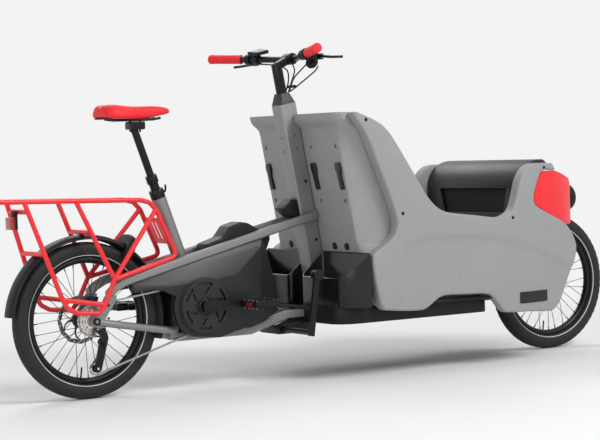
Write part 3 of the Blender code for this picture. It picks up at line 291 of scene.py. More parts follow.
def coated(name, colour, rough, metal=0.0, grain=700.0, depth=0.00003, drift=0.08, coat=0.0, shine=0.5):
    """A paint, plastic or rubber: a little drift in colour and gloss, and a fine moulded grain."""
    paint = Paint(name)
    cloud = paint.noise(7.0, 3.0)
    fine = paint.noise(grain, 2.0)
    fleck = paint.noise(160.0, 1.0)
    tone = cloud * 0.7 + fleck * 0.3
    paint.set(Base_Color=paint.mix(tone, shade(colour, 1.0 - drift), shade(colour, 1.0 + drift)))
    paint.set(Roughness=cloud * 0.10 + fine * 0.06 + (rough - 0.08), Metallic=metal)
    paint.set(Coat_Weight=coat, Coat_Roughness=0.12, Specular_IOR_Level=shine)
    paint.bump(fine, depth)
    return paint.material


def foam_shell(name, colour):
    """Moulded bead foam: closely packed beads with paler and darker flecks."""
    paint = Paint(name)
    bead = paint.cells(260.0)
    speck = paint.cells(520.0)
    tint = paint.node("ShaderNodeSeparateColor", None, {"Color": bead["Color"]})["Red"]
    dot = paint.node("ShaderNodeSeparateColor", None, {"Color": speck["Color"]})["Green"]
    cloud = paint.noise(4.0, 3.0)
    base = paint.mix(cloud * 0.5 + tint * 0.5, shade(colour, 0.93), shade(colour, 1.07))
    base = paint.mix(tint.rise(0.86, 0.95) * 0.45, base, shade(colour, 0.78))
    base = paint.mix(dot.rise(0.88, 0.96) * 0.40, base, shade(colour, 1.25))
    paint.set(Base_Color=base, Roughness=tint * 0.12 + 0.52)
    paint.bump(bead["Distance"] * 0.6 + paint.noise(700.0) * 0.3, 0.00012)
    return paint.material


def tyre_rubber(name, centre):
    """Black rubber with a thin pale reflecting line round the wall."""
    paint = Paint(name)
    x, y, z = paint.parts()
    x, z = x - centre.x, z - centre.z
    radius = (x * x + z * z).root()
    line = 1.0 - (radius - 0.2118).size().rise(0.0010, 0.0016)
    wall = y.size().rise(0.014, 0.017)
    worn = radius.rise(0.2490, 0.2545)
    fine = paint.noise(420.0, 3.0)
    rubber = paint.mix(fine * 0.6 + worn * 0.4, (0.009, 0.009, 0.009), (0.026, 0.025, 0.025))
    paint.set(Base_Color=paint.mix(line * wall, rubber, (0.62, 0.63, 0.62)))
    paint.set(Roughness=fine * 0.2 + worn * 0.12 + 0.52, Specular_IOR_Level=0.35)
    paint.bump(fine, 0.00012)
    return paint.material


def drawn_steel(name, colour, rough, along=(1.0, 60.0, 1.0)):
    """Bright metal with a drawn or turned grain."""
    paint = Paint(name)
    lines = paint.noise(90.0, 3.0, paint.stretched(*along))
    cloud = paint.noise(30.0, 2.0)
    paint.set(Base_Color=paint.mix(lines, shade(colour, 0.80), shade(colour, 1.08)), Metallic=1.0)
    paint.set(Roughness=lines * 0.18 + cloud * 0.08 + (rough - 0.12))
    paint.bump(lines, 0.00002)
    return paint.material


def prism_lens(name, colour, glow=0.0):
    """A coloured lamp cover with small prisms behind a smooth face, whose glints are painted: each prism is
    lighter at its middle and darker at its edge.
    """
    paint = Paint(name)
    cell = paint.cells(330.0)
    # Painted glints: lit and shaded copies of the lens colour, lighter at each prism's middle and darker at
    # its edge.
    base = paint.mix(cell["Distance"].rise(0.1, 0.6), shade(colour, 1.35), shade(colour, 0.55))
    paint.set(Base_Color=base, Roughness=0.12 + cell["Distance"] * 0.10, Coat_Weight=1.0, Coat_Roughness=0.04)
    paint.bump(cell["Distance"], 0.0004)
    # Painted glow: a lens given a glow shines by itself. The red lens has one and is also on the pedal
    # reflectors, which are no lamps.
    if glow:
        paint.set(Emission_Color=colour, Emission_Strength=glow)
    return paint.material


def leather_grain(name, colour):
    """A moulded saddle cover with a fine pebble grain."""
    paint = Paint(name)
    pebble = paint.cells(620.0)
    cloud = paint.noise(12.0, 3.0)
    tone = cloud * 0.7 + pebble["Distance"] * 0.5
    paint.set(Base_Color=paint.mix(tone, shade(colour, 0.90), shade(colour, 1.06)))
    paint.set(Roughness=cloud * 0.12 + 0.44, Specular_IOR_Level=0.25)
    paint.bump(pebble["Distance"], 0.00012)
    return paint.material


def deselect():
    if bpy.context.object and bpy.context.object.mode != "OBJECT":
        bpy.ops.object.mode_set(mode="OBJECT")
    bpy.ops.object.select_all(action="DESELECT")


def pick(*objects):
    deselect()
    for obj in objects:
        obj.select_set(True)
    bpy.context.view_layer.objects.active = objects[-1]


def joined(objects):
    pick(*objects)
    if len(objects) > 1:
        bpy.ops.object.join()
    return bpy.context.object


def modified(obj, kind, **settings):
    """Adds a modifier to a piece, sets it and applies it."""
    pick(obj)
    bpy.ops.object.modifier_add(type=kind)
    made = obj.modifiers[-1]
    for key, value in settings.items():
        setattr(made, key, value)
    bpy.ops.object.modifier_apply(modifier=made.name)
    return obj


def bevelled(obj, width, segments=3, angle=32.0, clamp=True):
    return modified(obj, "BEVEL", width=width, segments=segments, limit_method="ANGLE",
                    angle_limit=math.radians(angle), use_clamp_overlap=clamp)


def tidied(obj, dist=1e-5):
    """Merges doubled corners and turns the faces outwards."""
    pick(obj)
    bpy.ops.object.mode_set(mode="EDIT")
    bpy.ops.mesh.select_all(action="SELECT")
    bpy.ops.mesh.remove_doubles(threshold=dist)
    bpy.ops.mesh.normals_make_consistent(inside=False)
    bpy.ops.object.mode_set(mode="OBJECT")
    return obj


def cut(obj, cutter):
    modified(obj, "BOOLEAN", object=cutter, operation="DIFFERENCE", solver="EXACT")
    bpy.data.objects.remove(cutter, do_unlink=True)
    return obj


def painted(obj, material):
    obj.data.materials.clear()
    obj.data.materials.append(material)
    return obj


def piece(obj, name, node, material, angle=35.0, stands_for=(), rides=True):
    """Names a finished piece, smooths it and lets it ride the body of a solid."""
    obj.name = name
    obj.data.name = name
    painted(obj, material)
    pick(obj)
    bpy.ops.object.shade_smooth_by_angle(angle=math.radians(angle))
    if rides:
        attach(obj, NODES[node]["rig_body"])
    for each in stands_for:
        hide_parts(each)
    return obj


def face_of(points):
    """A flat face with the given corners, from a filled circle."""
    deselect()
    bpy.ops.mesh.primitive_circle_add(vertices=len(points), radius=0.1, fill_type="NGON")
    obj = bpy.context.object
    for corner, point in zip(obj.data.vertices, points):
        corner.co = point
    return obj


def extruded(obj, way):
    pick(obj)
    bpy.ops.object.mode_set(mode="EDIT")
    bpy.ops.mesh.select_all(action="SELECT")
    bpy.ops.mesh.extrude_region_move(TRANSFORM_OT_translate={"value": tuple(way)})
    bpy.ops.object.mode_set(mode="OBJECT")
    return tidied(obj)


def block(outline, axis, low, high, edge=0.0, segments=3):
    """An outline in two coordinates extruded along one axis, with rounded edges."""
    order = {"x": lambda a, b: (low, a, b), "y": lambda a, b: (a, low, b), "z": lambda a, b: (a, b, low)}
    way = {"x": (1, 0, 0), "y": (0, 1, 0), "z": (0, 0, 1)}[axis]
    points = [order[axis](a, b) for a, b in outline]
    shift = Vector((REAR.x, 0.0, 0.0))
    obj = extruded(face_of([Vector(p) + shift for p in points]), Vector(way) * (high - low))
    if edge:
        bevelled(obj, edge, segments)
    return obj


def turned(profile, centre, axis=Y_AXIS, steps=48, ends=False, angle=360.0, start=0.0):
    """A profile of radius and distance along an axis, spun about it. An open one has its ends on the axis."""
    axis = Vector(axis).normalized()
    out = Vector((0.0, 0.0, 1.0)) if abs(axis.z) < 0.9 else Vector((1.0, 0.0, 0.0))
    out = (out - axis * out.dot(axis)).normalized()
    out = Matrix.Rotation(math.radians(start), 3, axis) @ out
    deselect()
    bpy.ops.mesh.primitive_circle_add(vertices=len(profile), radius=0.1, fill_type="NOTHING")
    obj = bpy.context.object
    for corner, (radius, along) in zip(obj.data.vertices, profile):
        corner.co = Vector(centre) + out * radius + axis * along
    bpy.ops.object.mode_set(mode="EDIT")
    if ends:
        last = len(profile) - 1
        mesh = bmesh.from_edit_mesh(obj.data)
        for edge in list(mesh.edges):
            if {v.index for v in edge.verts} == {0, last}:
                mesh.edges.remove(edge)
        bmesh.update_edit_mesh(obj.data)
    bpy.ops.mesh.select_all(action="SELECT")
    whole = angle > 359.9
    if not whole and not ends:
        bpy.ops.mesh.edge_face_add()
    bpy.ops.mesh.spin(steps=steps, angle=math.radians(angle), center=tuple(centre), axis=tuple(axis))
    bpy.ops.object.mode_set(mode="OBJECT")
    return tidied(obj)


def filleted(points, radius, steps=5):
    """A line of points with its corners rounded."""
    line = [Vector(p) for p in points]
    out = [line[0]]
    for before, here, after in zip(line, line[1:], line[2:]):
        back, ahead = before - here, after - here
        turn = math.pi - back.angle(ahead)
        if turn < 0.02:
            out.append(here)
            continue
        reach = min(radius * math.tan(turn / 2.0), 0.45 * back.length, 0.45 * ahead.length)
        start, end = here + back.normalized() * reach, here + ahead.normalized() * reach
        for k in range(steps + 1):
            t = k / steps
            out.append(start * (1 - t) ** 2 + here * 2 * t * (1 - t) + end * t * t)
    out.append(line[-1])
    return out


def tubes(lines, radius, sides):
    """Round bars along lines of points."""
    deselect()
    bpy.ops.curve.primitive_bezier_curve_add()
    obj = bpy.context.object
    curve = obj.data
    curve.splines.clear()
    curve.dimensions = "3D"
    curve.bevel_depth = radius
    curve.bevel_resolution = max(0, sides // 2 - 2)
    curve.use_fill_caps = True
    for line in lines:
        spline = curve.splines.new("POLY")
        spline.points.add(len(line) - 1)
        for spot, point in zip(spline.points, line):
            spot.co = (*point, 1.0)
    bpy.ops.object.convert(target="MESH")
    return tidied(bpy.context.object)


def plate(outlines, thick, axis, level, edge=0.0006, rounds=2):
    """A flat plate with rounded edges from closed outlines, of which the later ones are holes."""
    deselect()
    bpy.ops.curve.primitive_bezier_circle_add()
    obj = bpy.context.object
    curve = obj.data
    curve.splines.clear()
    curve.dimensions = "2D"
    curve.fill_mode = "BOTH"
    curve.extrude = thick / 2.0 - edge
    curve.bevel_depth = edge
    curve.bevel_resolution = rounds
    curve.offset = -edge
    for outline in outlines:
        spline = curve.splines.new("POLY")
        spline.points.add(len(outline) - 1)
        for spot, point in zip(spline.points, outline):
            spot.co = (point[0], point[1], 0.0, 1.0)
        spline.use_cyclic_u = True
    bpy.ops.object.convert(target="MESH")
    obj = bpy.context.object
    columns = {"y": ((1, 0, 0), (0, 0, 1), (0, 1, 0)), "z": ((1, 0, 0), (0, 1, 0), (0, 0, 1))}[axis]
    turn = Matrix(columns).transposed().to_4x4()
    shift = {"y": (REAR.x, level, 0), "z": (REAR.x, 0, level)}[axis]
    obj.data.transform(Matrix.Translation(shift) @ turn)
    return tidied(obj)


def round_outline(centre, radius, count):
    return [polar(centre, radius, math.tau * i / count) for i in range(count)]


def rounded(points, radius, steps=5):
    """A closed outline with its corners rounded."""
    out = []
    count = len(points)
    for i in range(count):
        three = [Vector((*points[(i + k) % count], 0.0)) for k in (-1, 0, 1)]
        back, ahead = three[0] - three[1], three[2] - three[1]
        ends = [three[1] + back * 0.499, three[1], three[1] + ahead * 0.499]
        out += [(p.x, p.y) for p in filleted(ends, radius, steps)[1:-1]]
    return out


def flowing(points, steps=4, sharp=()):
    """A closed outline as a smooth line through its points; sharp ones keep their corner."""
    pts = [Vector((p[0], p[1])) for p in points]
    count = len(pts)
    out = []
    for i in range(count):
        a, b = pts[i], pts[(i + 1) % count]
        before = a * 2 - b if i in sharp else pts[i - 1]
        after = b * 2 - a if (i + 1) % count in sharp else pts[(i + 2) % count]
        span = max((b - a).length, 1e-6)
        out_way = (b - before) * (span / max((b - a).length + (a - before).length, 1e-6))
        in_way = (after - a) * (span / max((after - b).length + (b - a).length, 1e-6))
        for k in range(steps):
            t = k / steps
            spot = (a * (2 * t**3 - 3 * t**2 + 1) + out_way * (t**3 - 2 * t**2 + t)
                    + b * (3 * t**2 - 2 * t**3) + in_way * (t**3 - t**2))
            out.append((spot.x, spot.y))
    return out


def built(mesh):
    """The piece that a bmesh describes."""
    deselect()
    bpy.ops.mesh.primitive_plane_add()
    obj = bpy.context.object
    mesh.to_mesh(obj.data)
    mesh.free()
    return tidied(obj)


def dressed(node, name, material, width, segments=3, angle=32.0, smooth=35.0):
    """A copy of a solid with its edges rounded, which stands for it."""
    pick(NODES[node])
    bpy.ops.object.duplicate()
    obj = bpy.context.object
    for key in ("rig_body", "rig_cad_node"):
        if key in obj:
            del obj[key]
    bpy.ops.object.parent_clear(type="CLEAR_KEEP_TRANSFORM")
    bpy.ops.mesh.customdata_custom_splitnormals_clear()
    bpy.ops.object.mode_set(mode="EDIT")
    bpy.ops.mesh.select_all(action="SELECT")
    bpy.ops.mesh.remove_doubles(threshold=2e-6)
    bpy.ops.mesh.dissolve_limited(angle_limit=math.radians(0.6))
    bpy.ops.object.mode_set(mode="OBJECT")
    if width:
        bevelled(obj, width, segments, angle)
    return piece(obj, name, node, material, smooth, [node])


FINISH = {}


def make_finishes(looks):
    """All materials, from the colours that the panel holds."""
    red = tuple(looks.red)
    black = (0.008, 0.008, 0.0085)
    smooth = {"grain": 900.0, "depth": 0.00001}
    around = (60.0, 1.0, 60.0)
    FINISH.update({
        "frame": coated("frame_grey_paint", tuple(looks.frame_grey), 0.42, metal=0.25, drift=0.05, coat=0.3,
                        **smooth),
        "shell": foam_shell("bead_foam_shell", tuple(looks.shell_grey)),
        "red": coated("coral_red_paint", red, 0.34, drift=0.05, coat=0.15, shine=0.30, **smooth),
        "red_soft": coated("coral_red_moulding", red, 0.46, drift=0.06, shine=0.25),
        "grip": coated("coral_red_grip", red, 0.55, grain=500.0, depth=0.00008, shine=0.25),
        "black": coated("black_moulding", (0.009, 0.009, 0.0095), 0.44, grain=620.0, depth=0.00006,
                        drift=0.10, shine=0.22),
        "gloss": coated("black_smooth_moulding", (0.006, 0.006, 0.0065), 0.22, shine=0.40, **smooth),
        "cover": coated("charcoal_moulding", (0.016, 0.016, 0.0165), 0.36, grain=480.0, depth=0.00010,
                        drift=0.10, shine=0.35),
        "metal": coated("black_anodised", black, 0.32, metal=0.3, drift=0.10, shine=0.35, **smooth),
        "hose": coated("black_hose", black, 0.46, grain=800.0, depth=0.00004, shine=0.30),
        "hood": coated("black_hood_moulding", (0.022, 0.022, 0.023), 0.40, grain=520.0, depth=0.00008,
                       shine=0.35),
        "steel": drawn_steel("bright_steel_finish", (0.62, 0.62, 0.63), 0.30),
        "disc": drawn_steel("brake_disc_steel", (0.20, 0.20, 0.21), 0.34, around),
        "sprocket": drawn_steel("sprocket_steel", (0.80, 0.77, 0.70), 0.26, around),
        "chain": drawn_steel("chain_steel", (0.42, 0.41, 0.40), 0.36, (40.0, 40.0, 40.0)),
        "saddle": leather_grain("coral_red_cover", red),
        # The red lens carries a painted glow of 0.05, on the tail light and on the pedal reflectors alike.
        "lens": prism_lens("red_lens_painted_glow", (0.42, 0.010, 0.014), 0.05),
        "lamp": prism_lens("clear_lens", (0.55, 0.56, 0.58)),
        # Painted shade: near-black for the inside of holes and openings, used on the mast's marks, the top
        # tube holes and behind the hood's pocket.
        "hole": coated("painted_shade_black", (0.006, 0.006, 0.006), 0.8, grain=300.0, depth=0.00002, drift=0.1),
        "screen": coated("grey_display", (0.20, 0.21, 0.21), 0.18, grain=900.0, depth=0.000005, drift=0.05,
                         coat=0.6),
    })


def make_tyres(looks):
    """Tyres spun from a half profile, with tread blocks."""
    half = [(0.2537, 0.0), (0.2536, 0.0080), (0.2526, 0.0140), (0.2496, 0.0192), (0.2448, 0.0234),
            (0.2385, 0.0260), (0.2300, 0.0270), (0.2210, 0.0262), (0.2135, 0.0236), (0.2090, 0.0202),
            (0.2056, 0.0166), (0.2036, 0.0115)]
    profile = half + [(r, -y) for r, y in reversed(half[1:])]
    steps = looks.tread_blocks
    for end, centre in (("rear", REAR), ("front", FRONT)):
        obj = turned(profile, centre, steps=steps)
        pick(obj)
        bpy.ops.object.mode_set(mode="EDIT")
        bpy.ops.mesh.select_mode(type="FACE")
        bpy.ops.mesh.select_all(action="DESELECT")
        mesh = bmesh.from_edit_mesh(obj.data)
        for face in mesh.faces:
            spot = face.calc_center_median() - centre
            sector = int(math.atan2(spot.x, spot.z) / math.tau * steps + steps + 0.5)
            on_tread = math.hypot(spot.x, spot.z) > 0.247
            if on_tread and (abs(spot.y) < 0.014 or sector % 2 == (spot.y > 0)):
                face.select_set(True)
        bmesh.update_edit_mesh(obj.data)
        bpy.ops.mesh.inset(thickness=0.0011, depth=0.0011, use_individual=True)
        bpy.ops.object.mode_set(mode="OBJECT")
        rubber = tyre_rubber(end + "_tyre_finish", centre)
        piece(obj, end + "_tyre_tread", end + "_tyre", rubber, 40.0, [end + "_tyre"])


def make_wheels(looks):
    """Rims, hubs, laced spokes with their nipples, and a valve."""
    rim = [(0.2032, 0.0118), (0.2010, 0.0136), (0.1965, 0.0138), (0.1925, 0.0126), (0.1890, 0.0092),
           (0.1866, 0.0050), (0.1858, 0.0)]
    rim += [(r, -y) for r, y in reversed(rim[:-1])]
    for end, centre, right, left in (("rear", REAR, -0.0342, 0.0658), ("front", FRONT, -0.0540, 0.0540)):
        hub = [(0.0082, right), (0.0155, right), (0.0172, right + 0.002), (0.0172, -0.0315),
               (0.0285, -0.0306), (0.0290, -0.0295), (0.0290, -0.0272), (0.0270, -0.0262),
               (0.0175, -0.0210), (0.0158, -0.0120), (0.0155, 0.0), (0.0158, 0.0140), (0.0178, 0.0235),
               (0.0270, 0.0282), (0.0290, 0.0292), (0.0290, 0.0318), (0.0270, 0.0328), (0.0235, 0.0340),
               (0.0235, 0.0430), (0.0195, 0.0431), (0.0195, left - 0.002), (0.0180, left), (0.0082, left)]
        parts = [turned(rim, centre, steps=96), turned(hub, centre, steps=40)]
        lines, nipples = [], []
        for i in range(looks.spokes):
            y = -0.0285 if i % 2 == 0 else 0.0305
            a = math.tau * i / looks.spokes
            lean = 0.9 if i % 4 < 2 else -0.9
            foot = Vector((0.0268 * math.sin(a + lean), y, 0.0268 * math.cos(a + lean)))
            tip = Vector((0.1880 * math.sin(a), y * 0.10, 0.1880 * math.cos(a)))
            lines.append([centre + foot, centre + tip])
            nipples.append([centre + tip.lerp(foot, 0.075), centre + tip])
        parts.append(tubes(lines, looks.spoke_radius, 6))
        parts.append(tubes(nipples, 0.0020, 6))
        valve = Matrix.Rotation(0.14, 3, "Y") @ Vector((0.0, 0.0, -1.0))
        parts.append(tubes([[centre + valve * 0.186, centre + valve * 0.152]], 0.0028, 10))
        wheel = joined(parts)
        piece(wheel, end + "_wheel_built", end + "_wheel", FINISH["metal"], 40.0,
              [end + "_wheel"])
        make_disc(end, centre)


def make_disc(end, centre):
    """A brake disc with a waved, drilled band on six swept arms."""
    off = side_on(centre)
    thick, level = 0.0019, 0.0445
    edge, inside, holes = [], [], []
    for i in range(144):
        a = math.tau * i / 144
        wave = 0.0012 * math.cos(12 * a)
        edge.append(polar(off, 0.0788 + wave, a))
        inside.append(polar(off, 0.0655 + wave, a))
    for i in range(36):
        a = math.tau * (i + 0.25 * (i % 3)) / 36
        r = 0.0690 + 0.0034 * (i % 3)
        holes.append(round_outline(polar(off, r, a), 0.0019, 10))
    parts = [plate([edge, inside] + holes, thick, "y", level, 0.0002, 1)]
    collar = [round_outline(off, radius, 36) for radius in (0.0285, 0.0205)]
    parts.append(plate(collar, thick, "y", level, 0.0002, 1))
    for i in range(6):
        spine = []
        for k in range(9):
            t = k / 8
            a = math.tau * i / 6 + 0.55 * t * t
            spine.append((0.0262 + 0.0418 * t, a, 0.0050 - 0.0016 * math.sin(math.pi * t)))
        left = [(r, a + w / r) for r, a, w in spine]
        right = [(r, a - w / r) for r, a, w in reversed(spine)]
        outline = [polar(off, r, a) for r, a in left + right]
        parts.append(plate([outline], thick, "y", level, 0.0002, 1))
    bolt = [(0.0, -0.001), (0.0026, -0.001), (0.0026, 0.0010), (0.0, 0.0010)]
    for i in range(6):
        a = math.tau * i / 6 + 0.3
        spot = centre + Vector((0.0240 * math.cos(a), level + 0.0012, 0.0240 * math.sin(a)))
        parts.append(turned(bolt, spot, steps=8, ends=True))
    piece(joined(parts), end + "_disc_drilled", end + "_rotor", FINISH["disc"], 30.0,
          [end + "_rotor"])


def cog(centre, radius, teeth, level, thick, bore):
    """A sprocket with rounded teeth, a bore and, where it is large enough, a ring of round holes."""
    spot = side_on(centre)
    tooth = (0.0, 0.0006, 0.0026, 0.0034, 0.0026, 0.0006)
    count = teeth * len(tooth)
    outline = [polar(spot, radius - tooth[i % len(tooth)], math.tau * i / count) for i in range(count)]
    holes = [round_outline(spot, bore, 28)]
    if radius > 0.034:
        for i in range(8):
            hole = polar(spot, (radius + bore) / 2, math.tau * i / 8)
            holes.append(round_outline(hole, (radius - bore) * 0.24, 12))
    return plate([outline] + holes, thick, "y", level, 0.0002, 1)


def make_drivetrain():
    """Sprockets, chain, cranks, pedals and the derailleur."""
    link_pitch = 0.0127
    steps = ((0.0499, -0.0364), (0.0438, -0.0392), (0.0425, -0.0420), (0.0358, -0.0448), (0.0348, -0.0476),
             (0.0288, -0.0504), (0.0280, -0.0532), (0.0228, -0.0562))
    cogs = [cog(REAR, r, round(r * math.tau / link_pitch), y, 0.0017, 0.0150) for r, y in steps]
    core = [(0.0082, -0.0348), (0.0152, -0.0348), (0.0152, -0.0580), (0.0175, -0.0582), (0.0175, -0.0596),
            (0.0150, -0.0599), (0.0082, -0.0599)]
    cogs.append(turned(core, REAR, steps=36))
    piece(joined(cogs), "cassette_cogs", "cassette", FINISH["sprocket"], 30.0, ["cassette"])

    make_chain()
    dressed("crankset", "crank_arms", FINISH["metal"], 0.0030, 3)
    for side, s in (("right", 1.0), ("left", -1.0)):
        dressed(side + "_pedal", side + "_pedal_body", FINISH["black"], 0.0022, 3)
        end = CRANK + Vector((s * 0.170, 0.0, 0.0))
        studs = []
        for a in (-0.0405, 0.0405):
            for k in range(4):
                y = -s * (0.1290 + 0.0265 * k)
                for up in (-1.0, 1.0):
                    foot = end + Vector((a, y, up * 0.0122))
                    studs.append([foot, foot + Vector((0.0, 0.0, up * 0.0018))])
        piece(tubes(studs, 0.0022, 8), side + "_pedal_studs", side + "_pedal",
              FINISH["steel"])
        lights = []
        for a in (-0.0468, 0.0468):
            y0, y1 = sorted((-s * 0.1530, -s * 0.1850))
            x = end.x - REAR.x + a
            low, high = end.z - 0.0075, end.z + 0.0075
            outline = rounded([(y0, low), (y1, low), (y1, high), (y0, high)], 0.002, 3)
            lights.append(block(outline, "x", x - 0.0012, x + 0.0012, 0.0005, 2))
        # The reflectors take the red lens with its painted glow.
        piece(joined(lights), side + "_pedal_reflectors", side + "_pedal", FINISH["lens"])
    dressed("derailleur_body", "derailleur_knuckle", FINISH["metal"], 0.0025, 3)
    dressed("derailleur_cage", "derailleur_arm", FINISH["metal"], 0.0012, 2)
    bolt = [(0.0, -0.001), (0.0042, -0.001), (0.0042, 0.0006), (0.0034, 0.0012), (0.0, 0.0012)]
    for name, (x, z) in PULLEYS.items():
        head = turned(bolt, at(x, -0.0705, z), -Y_AXIS, 12, True)
        piece(head, "pulley_bolt_" + name, "derailleur_cage", FINISH["steel"])


def chain_path():
    """Arcs round the chainring, the sprocket and the two pulleys, with straight runs between them."""
    arcs = (((CRANK_X, CRANK_Z), 0.0785, -78.0, 98.0, 30), ((0.0, AXLE_Z), 0.0490, 98.0, 262.0, 24),
            (PULLEYS["upper"], 0.0205, 60.0, -40.0, 12), (PULLEYS["lower"], 0.0205, 165.0, 288.0, 14))
    path = []
    for centre, radius, start, end, steps in arcs:
        for k in range(steps + 1):
            x, z = polar(centre, radius, math.radians(start + (end - start) * k / steps))
            path.append(at(x, CHAIN_Y, z))
    return path


def make_chain():
    """Pairs of inner and outer links set round the chain's path."""
    path = chain_path()
    length = sum((b - a).length for a, b in zip(path, path[1:] + path[:1]))
    count = int(round(length / 0.0254))
    pitch = length / count / 2.0

    def link(x, y):
        outline = []
        for i in range(10):
            a = math.tau * i / 10
            end = 1.0 if math.cos(a) > 0 else -1.0
            outline.append((x + end * pitch / 2.0 + 0.0030 * math.cos(a), 0.0030 * math.sin(a)))
        obj = plate([outline], 0.0009, "y", y, 0.0001, 0)
        obj.data.transform(Matrix.Translation((-REAR.x, 0.0, 0.0)))
        return obj

    parts = []
    for side in (-1.0, 1.0):
        parts.append(link(0.5 * pitch, side * 0.0016))
        parts.append(link(1.5 * pitch, side * 0.0027))
    for k in (0, 1):
        pin = [Vector((k * pitch, y, 0.0)) for y in (-0.0033, 0.0033)]
        parts.append(tubes([pin], 0.0021, 8))
    pair = joined(parts)
    deselect()
    bpy.ops.curve.primitive_bezier_curve_add()
    guide = bpy.context.object
    guide.data.splines.clear()
    guide.data.dimensions = "3D"
    guide.data.twist_mode = "Z_UP"
    spline = guide.data.splines.new("POLY")
    spline.points.add(len(path) - 1)
    for spot, point in zip(spline.points, path):
        spot.co = (*point, 1.0)
    spline.use_cyclic_u = True
    modified(pair, "ARRAY", count=count, use_relative_offset=False, use_constant_offset=True,
             constant_offset_displace=(2.0 * pitch, 0.0, 0.0))
    modified(pair, "CURVE", object=guide, deform_axis="POS_X")
    bpy.data.objects.remove(guide, do_unlink=True)
    chain = piece(pair, "chain_links", "chain", FINISH["chain"], 30.0, ["chain"], False)
    at(0.0875, CHAIN_Y, 0.1516)
    at(0.06, CHAIN_Y, 0.1039)
    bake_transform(chain)


def make_frame():
    """Painted mast, tubes, stays and beam, with their rivets and bolts."""
    for node, width in (("mast", 0.0040), ("right_top_tube", 0.0035), ("left_top_tube", 0.0035),
                        ("main_beam", 0.0030)):
        dressed(node, node + "_painted", FINISH["frame"], width, 4, 20.0, 40.0)
    parts = [tubes([[seat_at(0.388), seat_at(0.640)]], 0.0245, 40)]
    parts.append(tubes([[at(0.3628, -0.0501, 0.415), at(0.3628, 0.0501, 0.415)]], 0.012, 24))
    piece(joined(parts), "seat_tube_painted", "seat_tube", FINISH["frame"], 40.0,
          ["seat_tube"])
    bridge = rounded([(0.2878, 0.1702), (0.3172, 0.1702), (0.3172, 0.2118), (0.2878, 0.2118)], 0.004, 3)
    parts = [block(bridge, "y", -0.0425, 0.0425, 0.004, 3)]
    hook = [(-0.016, 0.264), (-0.019, 0.252), (-0.012, 0.240), (0.004, 0.2330), (0.034, 0.2330),
            (0.040, 0.240), (0.031, 0.254), (0.046, 0.278), (0.076, 0.318), (0.078, 0.335), (0.036, 0.335),
            (0.014, 0.294), (-0.004, 0.277)]
    for s in (-1.0, 1.0):
        stay = [at(0.012, s * 0.0718, 0.2515), at(0.080, s * 0.0718, 0.238), at(0.302, s * 0.0395, 0.1985)]
        parts.append(tubes([filleted(stay, 0.10, 6)], 0.0116, 24))
        sleeve = [stay[1].lerp(stay[2], t) for t in (0.30, 0.33)]
        parts.append(tubes([sleeve], 0.0121, 24))
        parts.append(plate([rounded(hook, 0.006, 3)], 0.0080, "y", s * 0.0708, 0.0012, 2))
    parts.append(tubes([[at(0.0, -0.0830, AXLE_Z), at(0.0, 0.0830, AXLE_Z)]], 0.0075, 20))
    piece(joined(parts), "chainstay_yoke_painted", "chainstay_yoke", FINISH["frame"], 40.0,
          ["chainstay_yoke"])
    dressed("headset_cap", "headset_cap_rounded", FINISH["cover"], 0.0070, 5, 25.0, 50.0)
    holes = []
    rivet = [(0.0, -0.001), (0.0048, -0.001), (0.0048, 0.0004), (0.0036, 0.0004), (0.0034, -0.0006),
             (0.0, -0.0006)]
    for z in (0.829, 0.783):
        for way, middle_z in ((-MAST_ACROSS, z), (-Y_AXIS, z + 0.004)):
            holes.append(turned(rivet, mast_at(middle_z) + way * MAST_HALF, way, 16, True))
    plug = [(0.0, -0.001), (0.0060, -0.001), (0.0060, 0.0006), (0.0, 0.0008)]
    for z in (0.672, 0.468):
        holes.append(turned(plug, mast_at(z) - Y_AXIS * MAST_HALF + MAST_ACROSS * 0.012, -Y_AXIS, 16, True))
    # Painted shade: the rivet heads with their hollows and the plugs are all near-black, standing for the
    # shade in the mast's holes.
    piece(joined(holes), "mast_rivets", "mast", FINISH["hole"])
    bolts = []
    for s in (-1.0, 1.0):
        for x, y, z, r in ((0.0, 0.0805, AXLE_Z, 0.0125), (0.045, 0.0748, 0.305, 0.005),
                           (0.045, 0.0748, 0.262, 0.004)):
            cap = [(0.0, -0.002), (r, -0.002), (r, 0.0018), (r * 0.8, 0.0030), (r * 0.45, 0.0030),
                   (r * 0.40, 0.0012), (0.0, 0.0012)]
            bolts.append(turned(cap, at(x, s * y, z), Y_AXIS * s, 20, True))
    piece(joined(bolts), "rear_frame_bolts", "chainstay_yoke", FINISH["metal"])
    ring = [(0.0, -0.001), (0.0085, -0.001), (0.0085, 0.0003), (0.0070, 0.0003), (0.0065, -0.0006),
            (0.0, -0.0006)]
    for side, s in (("right", -1.0), ("left", 1.0)):
        # Painted shade: a near-black ring with a sunk middle stands for the shade in the hole where the top
        # tube opens.
        hole = turned(ring, at(0.852, s * 0.0550, 0.5513), Y_AXIS * s, 20, True)
        piece(hole, side + "_tube_hole", side + "_top_tube", FINISH["hole"])


COVER_EDGE = [(0.6400, 0.4856, 0.0610), (0.1400, 0.3679, 0.0700), (0.1400, 0.3380, 0.0780),
              (0.2280, 0.3450, 0.0835)]
COVER_EDGE += [(*polar((0.388, CRANK_Z), 0.105, math.radians(158.0 + 9.4 * k)), 0.0850) for k in range(11)]
COVER_EDGE += [(0.4530, 0.1680, 0.0850), (0.6400, 0.2100, 0.0700), (0.6920, 0.2360, 0.0640),
               (0.7020, 0.2550, 0.0630), (0.6860, 0.3410, 0.0640), (0.6520, 0.4700, 0.0610)]
COVER_FOLD = [(0.3090, 0.3520, 0.0855), (0.4330, 0.3600, 0.0855), (0.5260, 0.3740, 0.0850),
              (0.6320, 0.4600, 0.0690), (0.6180, 0.3080, 0.0790), (0.4910, 0.3400, 0.0800)]


